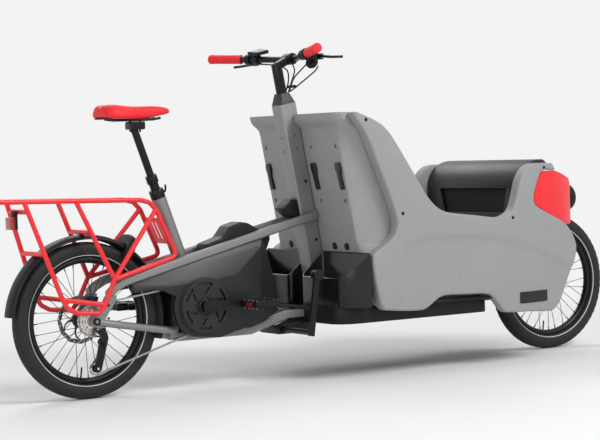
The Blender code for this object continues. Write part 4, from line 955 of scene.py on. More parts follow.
def make_cover(side, s):
    """A drive cover folded from flat facets."""
    last = len(COVER_EDGE)
    fold = [last + k for k in range(len(COVER_FOLD))]
    top = [0, 1, 3, fold[0], fold[1], fold[2], fold[3]]
    corner = last - 6
    facets = [top, [1, 2, 3], [fold[2], fold[5], fold[4], fold[3]], [0, fold[3], last - 1],
              [fold[3], fold[4], last - 5, last - 4, last - 3, last - 2, last - 1],
              [fold[5], fold[2], fold[1], fold[0], 3] + list(range(4, corner + 1)) + [last - 5, fold[4]]]
    node = side + "_drive_cover"
    mesh = bmesh.new()
    front = [mesh.verts.new(at(x, s * y, z)) for x, z, y in COVER_EDGE + COVER_FOLD]
    back = [mesh.verts.new(at(x, s * 0.0588, z)) for x, z, y in COVER_EDGE]
    for facet in facets:
        mesh.faces.new([front[k] for k in facet])
    mesh.faces.new(back)
    for k in range(last):
        m = (k + 1) % last
        mesh.faces.new((front[k], front[m], back[m], back[k]))
    obj = bevelled(built(mesh), 0.0022, 3, 6.0)
    piece(obj, side + "_drive_panel", node, FINISH["cover"], 20.0, [node])


def make_drive():
    """Motor, its slotted cover, the folded drive covers and the battery."""
    dressed("motor_unit", "motor_housing", FINISH["black"], 0.006, 3)
    for side, s in (("right", -1.0), ("left", 1.0)):
        make_cover(side, s)
    base = [(0.0125, 0.0003), (0.0955, 0.0003), (0.0960, 0.0012), (0.0955, 0.0030), (0.0900, 0.0045),
            (0.0300, 0.0048), (0.0125, 0.0048)]
    hub = CRANK + Vector((0.0, -0.0858, 0.0))
    back = turned(base, hub, -Y_AXIS, 72)
    centre = side_on(CRANK)
    holes = [round_outline(centre, 0.0280, 36)]
    for i in range(6):
        a0 = math.tau * i / 6 + 0.15
        arc_out = [(0.0790, a0 + 0.62 * k / 10) for k in range(11)]
        arc_in = [(0.0700, a0 + 0.62 * k / 10) for k in range(10, -1, -1)]
        holes.append([polar(centre, r, a) for r, a in arc_out + arc_in])
        a1 = math.tau * i / 6 + 0.5
        slit = [(0.0400, a1), (0.0640, a1 - 0.25), (0.0640, a1 - 0.16), (0.0400, a1 + 0.14)]
        holes.append([polar(centre, r, a) for r, a in slit])
    face = plate([round_outline(centre, 0.0905, 96)] + holes, 0.0070, "y", -0.0938, 0.0012, 2)
    collar = turned([(0.0125, 0.004), (0.0260, 0.004), (0.0260, 0.0110), (0.0235, 0.0128), (0.0125, 0.0128)],
                    hub, -Y_AXIS, 48)
    piece(joined([back, face, collar]), "motor_cover_slotted", "motor_cover",
          FINISH["cover"], 30.0, ["motor_cover"])
    dressed("battery", "battery_case", FINISH["black"], 0.008, 4)
    dressed("mast_console", "mast_latch", FINISH["black"], 0.004, 3)


def rack_y(x, z):
    """Sideways distance of the rack's tubes: they splay below the deck and draw in toward the front."""
    if z <= 0.44:
        splay = 0.0990 + (0.0862 - 0.0990) * clamped((z - 0.37) / 0.07)
    else:
        splay = 0.0862 + (0.0680 - 0.0862) * clamped((z - 0.44) / 0.21)
    return splay * (1.0 - 0.30 * clamped((x - 0.06) / 0.25))


RACK_SPLIT = 0.0083


def rack_sheet():
    """The slotted plate between the rack's front tubes, cut flat and then laid along them."""
    top, low = (0.254, 0.576), (0.2935, 0.489)
    y = rack_y(*top) - 0.004
    edge = [(RACK_SPLIT - y, 0.0), (y, 0.0), (y, 1.0), (RACK_SPLIT - y, 1.0)]
    gaps = [[(a - 0.005, 0.17), (a + 0.005, 0.17), (a + 0.005, 0.82), (a - 0.005, 0.82)]
            for a in (-0.012, 0.012)]
    flat = plate([edge] + gaps, 0.0036, "z", 0.0, 0.0008, 2)
    start = at(top[0], 0.0, top[1])
    way = at(low[0], 0.0, low[1]) - start
    normal = Vector((way.z, 0.0, -way.x)).normalized()
    for corner in flat.data.vertices:
        across, along, rise = corner.co.x - REAR.x, corner.co.y, corner.co.z
        corner.co = start + way * along + Y_AXIS * across + normal * rise
    return tidied(flat)


def make_rack(looks):
    """The two halves of the rack, of which the left one carries the cross tubes, and the tail light."""
    tail = -0.3140
    lines = {
        "rail": [(tail, 0.652), (0.180, 0.638), (0.218, 0.629), (0.243, 0.602), (0.303, 0.468),
                 (0.306, 0.454), (0.296, 0.444), (0.061, 0.388)],
        "drop": [(-0.232, 0.648), (-0.132, 0.348), (-0.112, 0.307), (-0.080, 0.290), (0.000, 0.2835)],
        "mid": [(-0.052, 0.641), (0.061, 0.388)],
        "brace": [(0.061, 0.388), (0.241, 0.604)],
        "arm": [(-0.1255, 0.3345), (0.022, 0.309)],
        "foot": [(0.061, 0.388), (0.022, 0.309), (0.000, 0.2835)],
    }
    cross = [(tail, 0.652), (-0.2217, 0.617), (-0.1763, 0.4808), (-0.0080, 0.5417)]
    for side, s in (("right", -1.0), ("left", 1.0)):
        runs = [filleted([at(x, s * rack_y(x, z), z) for x, z in line], 0.035) for line in lines.values()]
        if side == "left":
            for x, z in cross:
                y = rack_y(x, z)
                runs.append([at(x, RACK_SPLIT - y, z), at(x, y, z)])
        parts = [tubes(runs, looks.rack_radius, 20)]
        boss = at(0.022, s * 0.0760, 0.309)
        boss_length = 0.0276
        stud = [(0.0, 0.0), (0.0088, 0.0), (0.0088, 0.0262), (0.0078, boss_length), (0.0, boss_length)]
        parts.append(turned(stud, boss, Y_AXIS * s, 24, True))
        if side == "left":
            parts.append(rack_sheet())
        node = "rack_" + side
        piece(joined(parts), side + "_rack_tubes", node, FINISH["red"], 40.0, [node])
        bolt = [(0.0, -0.001), (0.0052, -0.001), (0.0052, 0.0016), (0.0040, 0.0026), (0.0022, 0.0026),
                (0.0020, 0.0010), (0.0, 0.0010)]
        head = turned(bolt, boss + Y_AXIS * s * boss_length, Y_AXIS * s, 16, True)
        piece(head, side + "_rack_bolt", node, FINISH["metal"])
    outline = rounded([(-0.0215, 0.5605), (0.0215, 0.5605), (0.0215, 0.6025), (-0.0215, 0.6025)], 0.006, 5)
    case = block(outline, "x", -0.2435, -0.2342, 0.003, 3)
    outline = rounded([(-0.0095, 0.590), (0.0095, 0.590), (0.0095, 0.6215), (-0.0095, 0.6215)], 0.003, 3)
    tab = block(outline, "x", -0.2440, -0.2295, 0.0015, 2)
    piece(joined([case, tab]), "tail_light_case", "tail_light", FINISH["black"], 35.0,
          ["tail_light"])
    inner = rounded([(-0.0205, 0.5615), (0.0205, 0.5615), (0.0205, 0.6015), (-0.0205, 0.6015)], 0.0055, 5)
    piece(block(inner, "x", -0.2598, -0.2430, 0.0026, 4), "tail_light_lens", "tail_light",
          FINISH["lens"])


def make_guard():
    """Mudguard, ring lock and rear brake."""
    outer = [(0.2655, 0.0340), (0.2672, 0.0338), (0.2712, 0.0308), (0.2748, 0.0262), (0.2772, 0.0200),
             (0.2786, 0.0110), (0.2789, 0.0)]
    outer += [(r, -y) for r, y in reversed(outer[:-1])]
    inner = [(r - 0.0022, y * 0.945) for r, y in reversed(outer)]
    obj = turned(outer + inner, REAR, steps=110, angle=191.0, start=107.0)
    piece(obj, "rear_mudguard_smooth", "rear_mudguard", FINISH["black"], 40.0,
          ["rear_mudguard"])
    dressed("ring_lock", "ring_lock_case", FINISH["black"], 0.0050, 4)
    dressed("lock_lever", "ring_lock_knob", FINISH["metal"], 0.0022, 3)
    dressed("rear_caliper", "rear_brake_body", FINISH["metal"], 0.0030, 3)


def make_seat():
    """The dropper post's sleeve, clamp, shaft and head, and the saddle."""
    axis = SEAT_DIR
    top = 0.2925
    sleeve = [(0.0132, 0.0), (0.0157, 0.0), (0.0157, 0.2905), (0.0190, 0.2912), (0.0195, top), (0.0185, top),
              (0.0150, top), (0.0132, top)]
    parts = [turned(sleeve, seat_at(0.440), axis, 40)]
    run = (0.716 - 0.690) / SEAT_DIR.z
    collar = [(0.0132, 0.0), (0.0188, 0.0), (0.0195, 0.0012), (0.0195, run - 0.004),
              (0.0178, run - 0.0006), (0.0132, run)]
    parts.append(turned(collar, seat_at(0.690), axis, 40))
    run = (0.668 - 0.640) / SEAT_DIR.z
    clamp = [(0.0150, 0.0004), (0.0240, 0.0004), (0.0245, 0.0015), (0.0245, run - 0.0015), (0.0235, run),
             (0.0150, run)]
    parts.append(turned(clamp, seat_at(0.640), axis, 40))
    piece(joined(parts), "seatpost_sleeve", "seatpost_lower", FINISH["metal"], 35.0,
          ["seatpost_lower"])
    lever = seat_at(0.654) + Vector((0.0235, 0.0, 0.008))
    barrel = [(0.0, -0.012), (0.0045, -0.012), (0.0052, -0.009), (0.0052, 0.009), (0.0045, 0.012),
              (0.0, 0.012)]
    blade = [lever, lever + Vector((0.004, -0.010, 0.004)), lever + Vector((0.002, -0.012, 0.022))]
    parts = [turned(barrel, lever, Y_AXIS, 20, True), tubes([filleted(blade, 0.006)], 0.0034, 12)]
    piece(joined(parts), "seat_clamp_lever", "seatpost_lower", FINISH["metal"])

    run = (0.872 - 0.590) / SEAT_DIR.z
    stanchion = turned([(0.0, 0.0), (0.0125, 0.0), (0.0125, run), (0.0, run)], seat_at(0.590), axis, 40, True)
    outline = rounded([(0.180, 0.868), (0.232, 0.868), (0.232, 0.8945), (0.180, 0.8945)], 0.008, 5)
    head = block(outline, "y", -0.0238, 0.0238, 0.003, 3)
    rails = []
    for s in (-1.0, 1.0):
        line = ((0.105, 0.0215, 0.9045), (0.135, 0.0215, 0.9000), (0.262, 0.0215, 0.9000),
                (0.290, 0.0190, 0.9045))
        rails.append(filleted([at(x, s * y, z) for x, y, z in line], 0.03))
    rail = tubes(rails, 0.0044, 14)
    bolts = tubes([[at(x, 0.0, 0.860), at(x, 0.0, 0.896)] for x in (0.188, 0.224)], 0.0034, 12)
    shaft = joined([stanchion, head, rail, bolts])
    piece(shaft, "seatpost_shaft", "seatpost_upper", FINISH["metal"], 35.0, ["seatpost_upper"])
    make_saddle()


def make_saddle():
    """A crowned moulded cushion with a shallow channel, lofted ring by ring and subdivided."""
    stations = [(0.0735, 0.038, 0.9380, 0.9190), (0.0790, 0.059, 0.9490, 0.9100),
                (0.0950, 0.0715, 0.9540, 0.9050), (0.1250, 0.0738, 0.9520, 0.9040),
                (0.1550, 0.0670, 0.9475, 0.9040), (0.1850, 0.0520, 0.9452, 0.9020),
                (0.2150, 0.0390, 0.9452, 0.9005), (0.2500, 0.0300, 0.9455, 0.9040),
                (0.2850, 0.0245, 0.9440, 0.9105), (0.3150, 0.0205, 0.9400, 0.9160),
                (0.3335, 0.0125, 0.9320, 0.9195)]
    ring = [(0.0, 1.0), (0.18, 1.0), (0.40, 0.985), (0.66, 0.93), (0.87, 0.78), (0.98, 0.52), (0.96, 0.24),
            (0.80, 0.05), (0.45, 0.0)]
    ring = ring + [(0.0, 0.0)] + [(-a, b) for a, b in reversed(ring[1:])]
    mesh = bmesh.new()
    rows = []
    for x, wide, top, low in stations:
        row = []
        for a, b in ring:
            channel = 0.0085 * max(0.0, 1.0 - abs(a) / 0.30) * (b > 0.9) * clamped((wide - 0.018) / 0.02)
            droop = 0.0080 * max(0.0, abs(a) - 0.6) / 0.4 * clamped((0.21 - x) / 0.05)
            row.append(mesh.verts.new(at(x, a * wide, low + (top - low) * b - channel - droop)))
        rows.append(row)
    for first, second in zip(rows, rows[1:]):
        for k in range(len(ring)):
            m = (k + 1) % len(ring)
            mesh.faces.new((first[k], second[k], second[m], first[m]))
    mesh.faces.new(rows[0])
    mesh.faces.new(rows[-1])
    obj = modified(built(mesh), "SUBSURF", levels=3, render_levels=3)
    cushion = piece(obj, "saddle_cushion", "saddle", FINISH["saddle"], 60.0, ["saddle"])
    shell = [(x, wide * 0.72) for x, wide, top, low in stations[1:-3]]
    outline = shell + [(x, -y) for x, y in reversed(shell)]
    base = plate([outline], 0.0030, "z", 0.9052, 0.0008, 2)
    piece(base, "saddle_base", "saddle", FINISH["black"])


def lever_ways(s):
    """The directions along the bar, outwards, and level ahead of it."""
    way = (bar_at(s * 0.3) - bar_at(s * 0.1)).normalized()
    ahead = Vector((0.0, 0.0, 1.0)).cross(way).normalized()
    return way, ahead if ahead.x > 0 else -ahead


def make_steering(looks):
    """Stem, bar, ribbed grips, controls, levers, display and hoses."""
    dressed("steering_column", "stem_and_column", FINISH["metal"], 0.0020, 3)
    path = filleted([bar_at(y) for y in (-BAR_HALF, -BAR_FLAT_HALF, BAR_FLAT_HALF, BAR_HALF)], 0.09, 8)
    piece(tubes([path], 0.0111, 28), "handlebar_swept", "handlebar", FINISH["metal"], 40.0,
          ["handlebar"])
    for side, s in (("right", -1.0), ("left", 1.0)):
        start, end = bar_at(s * 0.215), bar_at(s * BAR_HALF)
        way, ahead = lever_ways(s)
        run = (end - start).length
        profile = [(0.0, 0.0002), (0.0150, 0.0002), (0.0164, 0.0012), (0.0165, 0.0060), (0.0156, 0.0074)]
        ribs = 13
        step = (run - 0.030) / ribs
        for k in range(ribs):
            a = 0.010 + step * k
            shares = ((0.0149, 0.0), (0.0149, 0.22), (0.0157, 0.36), (0.0157, 0.86))
            profile += [(radius, a + step * share) for radius, share in shares]
        profile += [(0.0149, run - 0.019), (0.0160, run - 0.016), (0.0165, run - 0.010),
                    (0.0165, run + 0.0010), (0.0150, run + 0.0034), (0.0090, run + 0.0039),
                    (0.0, run + 0.0040)]
        grip = turned(profile, start, way, 44, True)
        piece(grip, side + "_grip_ribbed", side + "_grip", FINISH["grip"], 40.0,
              [side + "_grip"])
        dressed(side + "_control", side + "_control_body", FINISH["black"], 0.0022, 3)
        dressed(side + "_brake_lever", side + "_lever_blade", FINISH["metal"], 0.0022, 3)
        hub = bar_at(s * 0.185)
        screw = [(0.0, -0.001), (0.0022, -0.001), (0.0022, 0.0006), (0.0, 0.0006)]
        screws = []
        for a in (-0.020, 0.012):
            spot = hub + ahead * 0.028 + way * a + Vector((0.0, 0.0, 0.0012))
            screws.append(turned(screw, spot, (0, 0, 1), 10, True))
        piece(joined(screws), side + "_control_screws", side + "_control", FINISH["steel"])
    way = lever_ways(1.0)[0]
    slope = Vector((0.050, 0.0, 0.010)).normalized()
    up = slope.cross(way)
    up = up.normalized() if up.z > 0 else -up.normalized()
    mid = bar_at(0.150) + Vector((0.005, 0.0, 0.025)) + up * 0.0058
    outline = rounded([(-0.021, -0.024), (0.021, -0.024), (0.021, 0.024), (-0.021, 0.024)], 0.004, 4)
    corners = [mid + slope * a + way * b for a, b in outline]
    piece(extruded(face_of(corners), up * 0.0007), "display_screen", "left_control",
          FINISH["screen"])
    runs = [[(0.834, -0.151, 1.064), (0.842, -0.120, 1.050), (0.836, -0.070, 1.026),
             (0.820, -0.032, 1.000), (0.804, -0.014, 0.984)],
            [(0.7978, -0.147, 1.1075), (0.828, -0.095, 1.078), (0.834, -0.040, 1.056),
             (0.822, -0.010, 1.030), (0.808, -0.004, 0.984)],
            [(0.7975, 0.150, 1.1040), (0.834, 0.110, 1.104), (0.852, 0.050, 1.094),
             (0.846, 0.012, 1.060), (0.824, 0.004, 1.020), (0.809, 0.003, 0.984)],
            [(0.7905, 0.150, 1.0873), (0.828, 0.085, 1.080), (0.834, 0.040, 1.060),
             (0.820, 0.016, 1.024), (0.804, 0.012, 0.984)]]
    hoses = tubes([filleted([at(*p) for p in run], 0.06, 7) for run in runs], looks.hose_radius, 12)
    tie = tubes([[at(0.8165, -0.030, 1.002), at(0.8165, 0.018, 1.002)]], 0.0050, 14)
    piece(joined([hoses, tie]), "control_hoses", "control_cables", FINISH["hose"], 50.0,
          ["control_cables"])


REAR_EDGE = [(0.957, 0.233), (0.941, 0.251), (0.927, 0.306), (0.912, 0.401), (0.918, 0.425), (0.978, 0.461),
             (1.008, 0.490), (1.018, 0.528), (1.009, 0.564), (0.981, 0.640), (0.945, 0.726), (0.902, 0.825)]
TOP_EDGE = [(0.852, 0.894), (0.860, 0.904), (0.885, 0.897), (0.937, 0.876), (0.977, 0.852), (1.009, 0.817),
            (1.068, 0.731), (1.127, 0.641), (1.159, 0.598), (1.196, 0.566), (1.239, 0.550), (1.347, 0.536),
            (1.457, 0.5225), (1.493, 0.531), (1.517, 0.547), (1.537, 0.592), (1.554, 0.644), (1.575, 0.679),
            (1.605, 0.701), (1.647, 0.707), (1.730, 0.7045)]
FRONT_EDGE = [(1.748, 0.6785), (1.6725, 0.6785), (1.6445, 0.642), (1.6275, 0.603), (1.6235, 0.575),
              (1.6340, 0.5565), (1.703, 0.5245), (1.802, 0.484), (1.845, 0.451), (1.876, 0.416),
              (1.884, 0.393), (1.872, 0.355), (1.842, 0.317), (1.799, 0.259), (1.759, 0.204),
              (1.729, 0.181), (1.703, 0.174)]
LOW_EDGE = [(1.584, 0.182), (1.498, 0.185), (1.471, 0.191), (1.437, 0.229), (1.407, 0.255), (1.314, 0.262),
            (1.215, 0.265), (1.185, 0.257), (1.141, 0.230), (1.115, 0.222), (1.035, 0.225)]
ARCH = [(1.018, 0.400), (1.065, 0.450), (1.129, 0.470), (1.193, 0.473), (1.366, 0.464), (1.477, 0.451),
        (1.594, 0.419), (1.698, 0.374), (1.830, 0.332), (1.92, 0.300)]
RED_EDGE = [(1.6732, 0.6778), (1.748, 0.6778), (1.775, 0.672), (1.840, 0.655), (1.900, 0.635),
            (1.924, 0.600), (1.924, 0.500), (1.900, 0.478), (1.802, 0.4847), (1.7034, 0.5252),
            (1.6344, 0.5572), (1.6242, 0.575), (1.6282, 0.603), (1.6452, 0.6417)]


def bent(outline, nose, out, depth, mirror, edge=0.0, segments=3, field=None):
    """A flat panel with rounded edges and perhaps a sunk field, bent to the box's plan curve."""
    obj = extruded(face_of([at(x, 0.0, z) for x, z in outline]), (0.0, depth, 0.0))
    if edge:
        bevelled(obj, edge, segments, 45.0, False)
    count = 28
    stations = [BOX_BEND_X + (nose - BOX_BEND_X) * (1.0 - (1.0 - k / count) ** 1.7) for k in range(count)]
    stations += [nose - 0.004, nose]
    high = max(x for x, z in outline)
    pick(obj)
    bpy.ops.object.mode_set(mode="EDIT")
    cuts = [((x, 0.0, 0.0), (1.0, 0.0, 0.0)) for x in stations if x < high]
    if field:
        cuts += [((1.005 + 0.012 * k, 0.0, 0.0), (1.0, 0.0, 0.0)) for k in range(37)]
        cuts += [((0.0, 0.0, 0.30 + 0.009 * k), (0.0, 0.0, 1.0)) for k in range(21)]
    for spot, way in cuts:
        bpy.ops.mesh.select_all(action="SELECT")
        bpy.ops.mesh.bisect(plane_co=at(*spot), plane_no=way, threshold=1e-7)
    bpy.ops.object.mode_set(mode="OBJECT")
    for corner in obj.data.vertices:
        x = corner.co.x - REAR.x
        below = max([s for s in stations if s <= x + 1e-7] or [BOX_BEND_X])
        above = min([s for s in stations if s >= x - 1e-7] or [nose])
        share = (x - below) / (above - below) if above > below else 0.0
        wide = plan_y(below, nose) * (1 - share) + plan_y(above, nose) * share
        if x <= BOX_BEND_X:
            wide = BOX_HALF
        deep = corner.co.y
        if field:
            deep += field(x, corner.co.z) * max(0.0, 1.0 - deep / (WALL_DEPTH / 2.0))
        corner.co.y = -mirror * (wide + out - deep)
    return tidied(obj, dist=1e-6)


def sunk(x, z):
    """Depth of the wall's lower field under its arch, with a soft shoulder."""
    below_arch = min(between(ARCH, x) - z, (x - ARCH[0][0]) * 0.9)
    return 0.0055 * eased((below_arch + 0.006) / 0.024)


def make_walls(looks):
    """Side walls with their screws and plain plates, and the red nose panels."""
    outline = REAR_EDGE + TOP_EDGE + FRONT_EDGE + LOW_EDGE
    corners = [len(REAR_EDGE), len(REAR_EDGE) + len(TOP_EDGE) - 1, len(REAR_EDGE) + len(TOP_EDGE), 0]
    smooth = flowing(outline, 3, corners)
    head = [(0.0, -0.002), (0.0062, -0.002), (0.0062, 0.0004), (0.0052, 0.0013), (0.0026, 0.0014),
            (0.0023, 0.0002), (0.0, 0.0002)]
    for side, s in (("right", 1.0), ("left", -1.0)):
        node = "box_%s_wall" % side
        wall = bent(smooth, WALL_NOSE_X, 0.0, WALL_DEPTH, s, looks.wall_edge, 5, sunk)
        piece(wall, node + "_moulded", node, FINISH["shell"], 30.0, [node])
        screws = []
        for x, z in ((0.900, 0.877), (1.040, 0.556), (1.516, 0.519), (1.678, 0.690)):
            y = plan_y(x, WALL_NOSE_X)
            slope = (plan_y(x + 0.002, WALL_NOSE_X) - plan_y(x - 0.002, WALL_NOSE_X)) / 0.004
            way = Vector((-slope, -s, 0.0)).normalized()
            screws.append(turned(head, at(x, -s * y, z), way, 18, True))
        piece(joined(screws), side + "_wall_screws", node, FINISH["metal"])
        plain = rounded([(1.543, 0.213), (1.681, 0.213), (1.681, 0.253), (1.543, 0.253)], 0.004, 4)
        plain = bent(plain, WALL_NOSE_X, -0.0035, 0.004, s)
        piece(plain, side + "_plain_plate", node, FINISH["gloss"])
        red = bent(flowing(RED_EDGE, 3, (0, 1, 5, 6)), NOSE_X, 0.0, 0.014, s, 0.0030, 3)
        node = side + "_nose_panel"
        piece(red, side + "_red_panel", node, FINISH["red_soft"], 30.0, [node])


FLARE = [(0.248, 0.0), (0.40, 0.0), (0.422, 0.004), (0.461, 0.070), (0.490, 0.106), (0.528, 0.122),
         (0.564, 0.118), (0.640, 0.100), (0.726, 0.082), (0.825, 0.055), (0.88, 0.020), (0.906, 0.010)]


def between(table, x):
    """The value at x on straight lines through a table's points."""
    for (a, p), (b, q) in zip(table, table[1:]):
        if x <= b:
            return p + (q - p) * max(0.0, (x - a) / (b - a))
    return table[-1][1]


def back_x(z):
    """The back panel's rear face, just ahead of the leaning mast."""
    return mast_at(z).x - REAR.x + MAST_HALF / math.cos(MAST_LEAN) + BACK_GAP


BACK_EDGE = 0.2847
BACK_FLAT = BACK_EDGE - 0.0387
LIP_Z = 0.850
SLOT_YS = (0.024 - BACK_FLAT, -0.072, 0.072, BACK_FLAT - 0.024)
SLOT = [(-0.010, 0.736), (0.010, 0.736), (0.013, 0.718), (0.008, 0.695), (0.004, 0.643), (-0.012, 0.645),
        (-0.008, 0.690), (-0.013, 0.714)]


def flared(y, z):
    """How far into the panel's curved border y lies, from 0 to 1, and how far forward it bends there."""
    share = max(0.0, (abs(y) - BACK_FLAT) / (BACK_EDGE - BACK_FLAT))
    return share, between(FLARE, z) * share**1.5 * 0.9


def back_panel():
    """The bent panel with a lip along its top, made thicker at its borders so that it meets the walls."""
    low, high = 0.2471, 0.905
    deselect()
    bpy.ops.mesh.primitive_grid_add(x_subdivisions=60, y_subdivisions=72, size=1.0)
    obj = bpy.context.object
    for corner in obj.data.vertices:
        y, z = corner.co.x * 2.0 * BACK_EDGE, low + (corner.co.y + 0.5) * (high - low)
        share, bow = flared(y, z)
        lip = -0.024 * eased((z - LIP_Z) / 0.034)
        corner.co = at(back_x(z) + bow + lip * (1.0 - 0.6 * share**3), y, z)
    extruded(obj, (0.0217, 0.0, 0.0))
    for corner in obj.data.vertices:
        x, z = side_on(corner.co)
        share, bow = flared(corner.co.y, z)
        clear_of_lip = z < LIP_Z or x > back_x(z) + bow + 0.001
        if z > 0.45 and clear_of_lip and x > back_x(z) + 0.012:
            corner.co.x += 0.030 * share
    return bevelled(obj, 0.004, 3, 60.0, False)


def make_back():
    """The back panel with its slots, their liners and the plugs."""
    obj = back_panel()
    through = (0.70, 1.10)
    pins = []
    grips = []
    for y in SLOT_YS:
        pins.append(block([(y + a, b) for a, b in rounded(SLOT, 0.004, 3)], "x", *through))
        pins.append(block([(y - 0.009, 0.786), (y + 0.009, 0.786), (y, 0.805)], "x", *through))
        low_slot = [(y - 0.008, 0.599), (y + 0.008, 0.599), (y + 0.008, 0.611), (y - 0.008, 0.611)]
        pins.append(block(rounded(low_slot, 0.003, 3), "x", *through))
    cut(obj, joined(pins))
    for y in SLOT_YS:
        liner = block([(y + a * 1.25, b) for a, b in rounded(SLOT, 0.006, 4)], "x", -0.011, 0.012, 0.004, 3)
        for corner in liner.data.vertices:
            corner.co.x += back_x(corner.co.z) + 0.002
        grips.append(liner)
    piece(joined(grips), "back_slot_liners", "box_back", FINISH["gloss"])
    half = MAST_HALF + 0.0003
    foot = mast_at(0.10)
    corners = ((-0.08, -half), (half, -half), (half, half), (-0.08, half))
    ring = [foot + MAST_ACROSS * a + Y_AXIS * b for a, b in corners]
    cut(obj, extruded(face_of(ring), MAST_DIR * 0.95))
    piece(obj, "box_back_moulded", "box_back", FINISH["shell"], 35.0, ["box_back"])
    plug = [(0.0, -0.004), (0.0125, -0.004), (0.0130, 0.0), (0.0120, 0.0030), (0.0090, 0.0042), (0.0, 0.0044)]
    plug_z = 0.448
    plugs = [turned(plug, at(back_x(plug_z), y, plug_z), -MAST_ACROSS, 28, True)
             for y in (0.171, -0.110, -0.184)]
    piece(joined(plugs), "back_plugs", "box_back", FINISH["black"])


def make_hood():
    """A bent sheet from the floor up over the front, as wide as the walls leave room for."""
    line = [(1.3950, 0.2393), (1.6000, 0.2393), (1.6000, 0.623)]
    line += [polar((1.690, 0.623), 0.090, math.radians(180 - a)) for a in range(6, 91, 6)]
    line += [(1.718, 0.713), (1.735, 0.703), (1.7415, 0.685)]
    line = [Vector((p.x, p.y)) for p in filleted([(x, z, 0.0) for x, z in line], 0.016, 5)]
    sides = [[], []]
    for k, spot in enumerate(line):
        way = (line[min(k + 1, len(line) - 1)] - line[max(k - 1, 0)]).normalized()
        for side, s in zip(sides, (-0.006, 0.006)):
            side.append((spot.x - way.y * s, spot.y + way.x * s))
    obj = block(sides[0] + sides[1][::-1], "y", -0.3, 0.3)
    for corner in obj.data.vertices:
        wide = plan_y(corner.co.x - REAR.x, WALL_NOSE_X) - WALL_DEPTH - HOOD_GAP
        corner.co.y = math.copysign(wide, corner.co.y)
    pocket = rounded([(-0.174, 0.530), (0.174, 0.530), (0.199, 0.617), (-0.199, 0.617)], 0.008, 4)
    cut(obj, block(pocket, "x", 1.55, 1.66))
    bevelled(obj, 0.0025, 3, 50.0)
    piece(obj, "hood_moulded", "hood", FINISH["hood"], 40.0, ["hood"])


def make_inside():
    """Floor, the lips under the walls, bins and hood."""
    dressed("floor_tray", "floor_pan", FINISH["black"], 0.0018, 2)
    lips = []
    for s in (-1.0, 1.0):
        outline = [(1.100, s * 0.2800), (1.445, s * 0.2800), (1.445, s * 0.3140), (1.100, s * 0.3140)]
        lips.append(block(outline, "z", 0.2402, 0.2464, 0.002))
    piece(joined(lips), "floor_pan_lips", "floor_tray", FINISH["black"])
    for side in ("right", "left"):
        dressed(side + "_bin", side + "_bin_moulded", FINISH["gloss"], 0.0016, 3,
                smooth=40.0)
    make_hood()
    # Painted shade: a near-black sheet behind the hood's pocket, where the pocket opens onto the shaded
    # inside of the nose.
    outline = rounded([(-0.228, 0.500), (0.228, 0.500), (0.228, 0.645), (-0.228, 0.645)], 0.02, 4)
    liner = block(outline, "x", 1.6068, 1.6100)
    piece(liner, "hood_pocket_painted_shade", "hood", FINISH["hole"])


def make_nose():
    """Nose lid and headlight."""
    dressed("nose_cap", "nose_moulded", FINISH["shell"], 0.0040, 3, smooth=40.0)
    spot = at(NOSE_X - 0.045, 0.0, 0.567)
    body = [(0.0, 0.0), (0.040, 0.0), (0.0480, 0.003), (0.0495, 0.008), (0.0495, 0.1130), (0.0485, 0.1185),
            (0.0455, 0.1225), (0.0435, 0.1225), (0.0428, 0.1175), (0.0, 0.1175)]
    lamp = turned(body, spot, (1, 0, 0), 72, True)
    piece(lamp, "headlight_body", "headlight", FINISH["black"], 35.0, ["headlight"])
    glass = [(0.0, 0.1165), (0.0424, 0.1165), (0.0424, 0.1205), (0.0380, 0.1245), (0.0250, 0.1292),
             (0.0, 0.1306)]
    cover = turned(glass, spot, (1, 0, 0), 72, True)
    piece(cover, "headlight_glass", "headlight", FINISH["lamp"])


def make_under():
    """Fork, stand, its bracket and the steering cable."""
    dressed("fork", "fork_painted", FINISH["metal"], 0.0025, 3)
    dressed("stand", "stand_legs_painted", FINISH["metal"], 0.0020, 3)
    dressed("stand_bracket", "stand_bracket_cast", FINISH["metal"], 0.0025, 3)
    dressed("steering_cable", "steering_cable_loop", FINISH["steel"], 0.0, smooth=80.0)


def backdrop_rays(nodes):
    """1 for rays from the camera, off a shiny face or through glass, so that these meet the pale backdrop."""
    path = nodes.node("ShaderNodeLightPath")
    shiny = nodes.math("MAXIMUM", path["Is Camera Ray"], path["Is Glossy Ray"])
    return nodes.math("MAXIMUM", shiny, path["Is Transmission Ray"])


def make_floor(pale):
    """A wide floor that keeps the shadow and turns into the backdrop farther out."""
    deselect()
    bpy.ops.mesh.primitive_plane_add(size=60.0, location=(0.0, 0.0, 0.0))
    floor = bpy.context.object
    floor.name = "studio_floor"
    paint = Paint("pale_floor")
    x, y, _ = paint.parts()
    far = (x * x + y * y).root().rise(1.6, 3.6)
    paint.set(Base_Color=(0.90, 0.90, 0.90), Roughness=0.9, Specular_IOR_Level=0.1)
    glow = paint.node("ShaderNodeEmission", None, {"Color": pale, "Strength": 1.0})["Emission"]
    lit = Wire(paint, paint.shader.outputs[0])
    both = paint.node("ShaderNodeMixShader", None, {0: far * backdrop_rays(paint), 1: lit, 2: glow})
    paint.feed(paint.tree.nodes["Material Output"].inputs["Surface"], both["Shader"])
    painted(floor, paint.material)


def make_world(pale, strength):
    """Even light from all round, with the backdrop's colour where it is seen."""
    world = bpy.data.worlds.new("studio_world")
    bpy.context.scene.world = world
    world.use_nodes = True
    nodes = Nodes(world.node_tree)
    sky = nodes.tree.nodes["Background"]
    nodes.feed(sky.inputs["Color"], (1.0, 1.0, 1.0))
    nodes.feed(sky.inputs["Strength"], strength)
    even = Wire(nodes, sky.outputs[0])
    shown = nodes.node("ShaderNodeBackground", None, {"Color": pale})["Background"]
    both = nodes.node("ShaderNodeMixShader", None, {0: backdrop_rays(nodes), 1: even, 2: shown})
    nodes.feed(nodes.tree.nodes["World Output"].inputs["Surface"], both["Shader"])


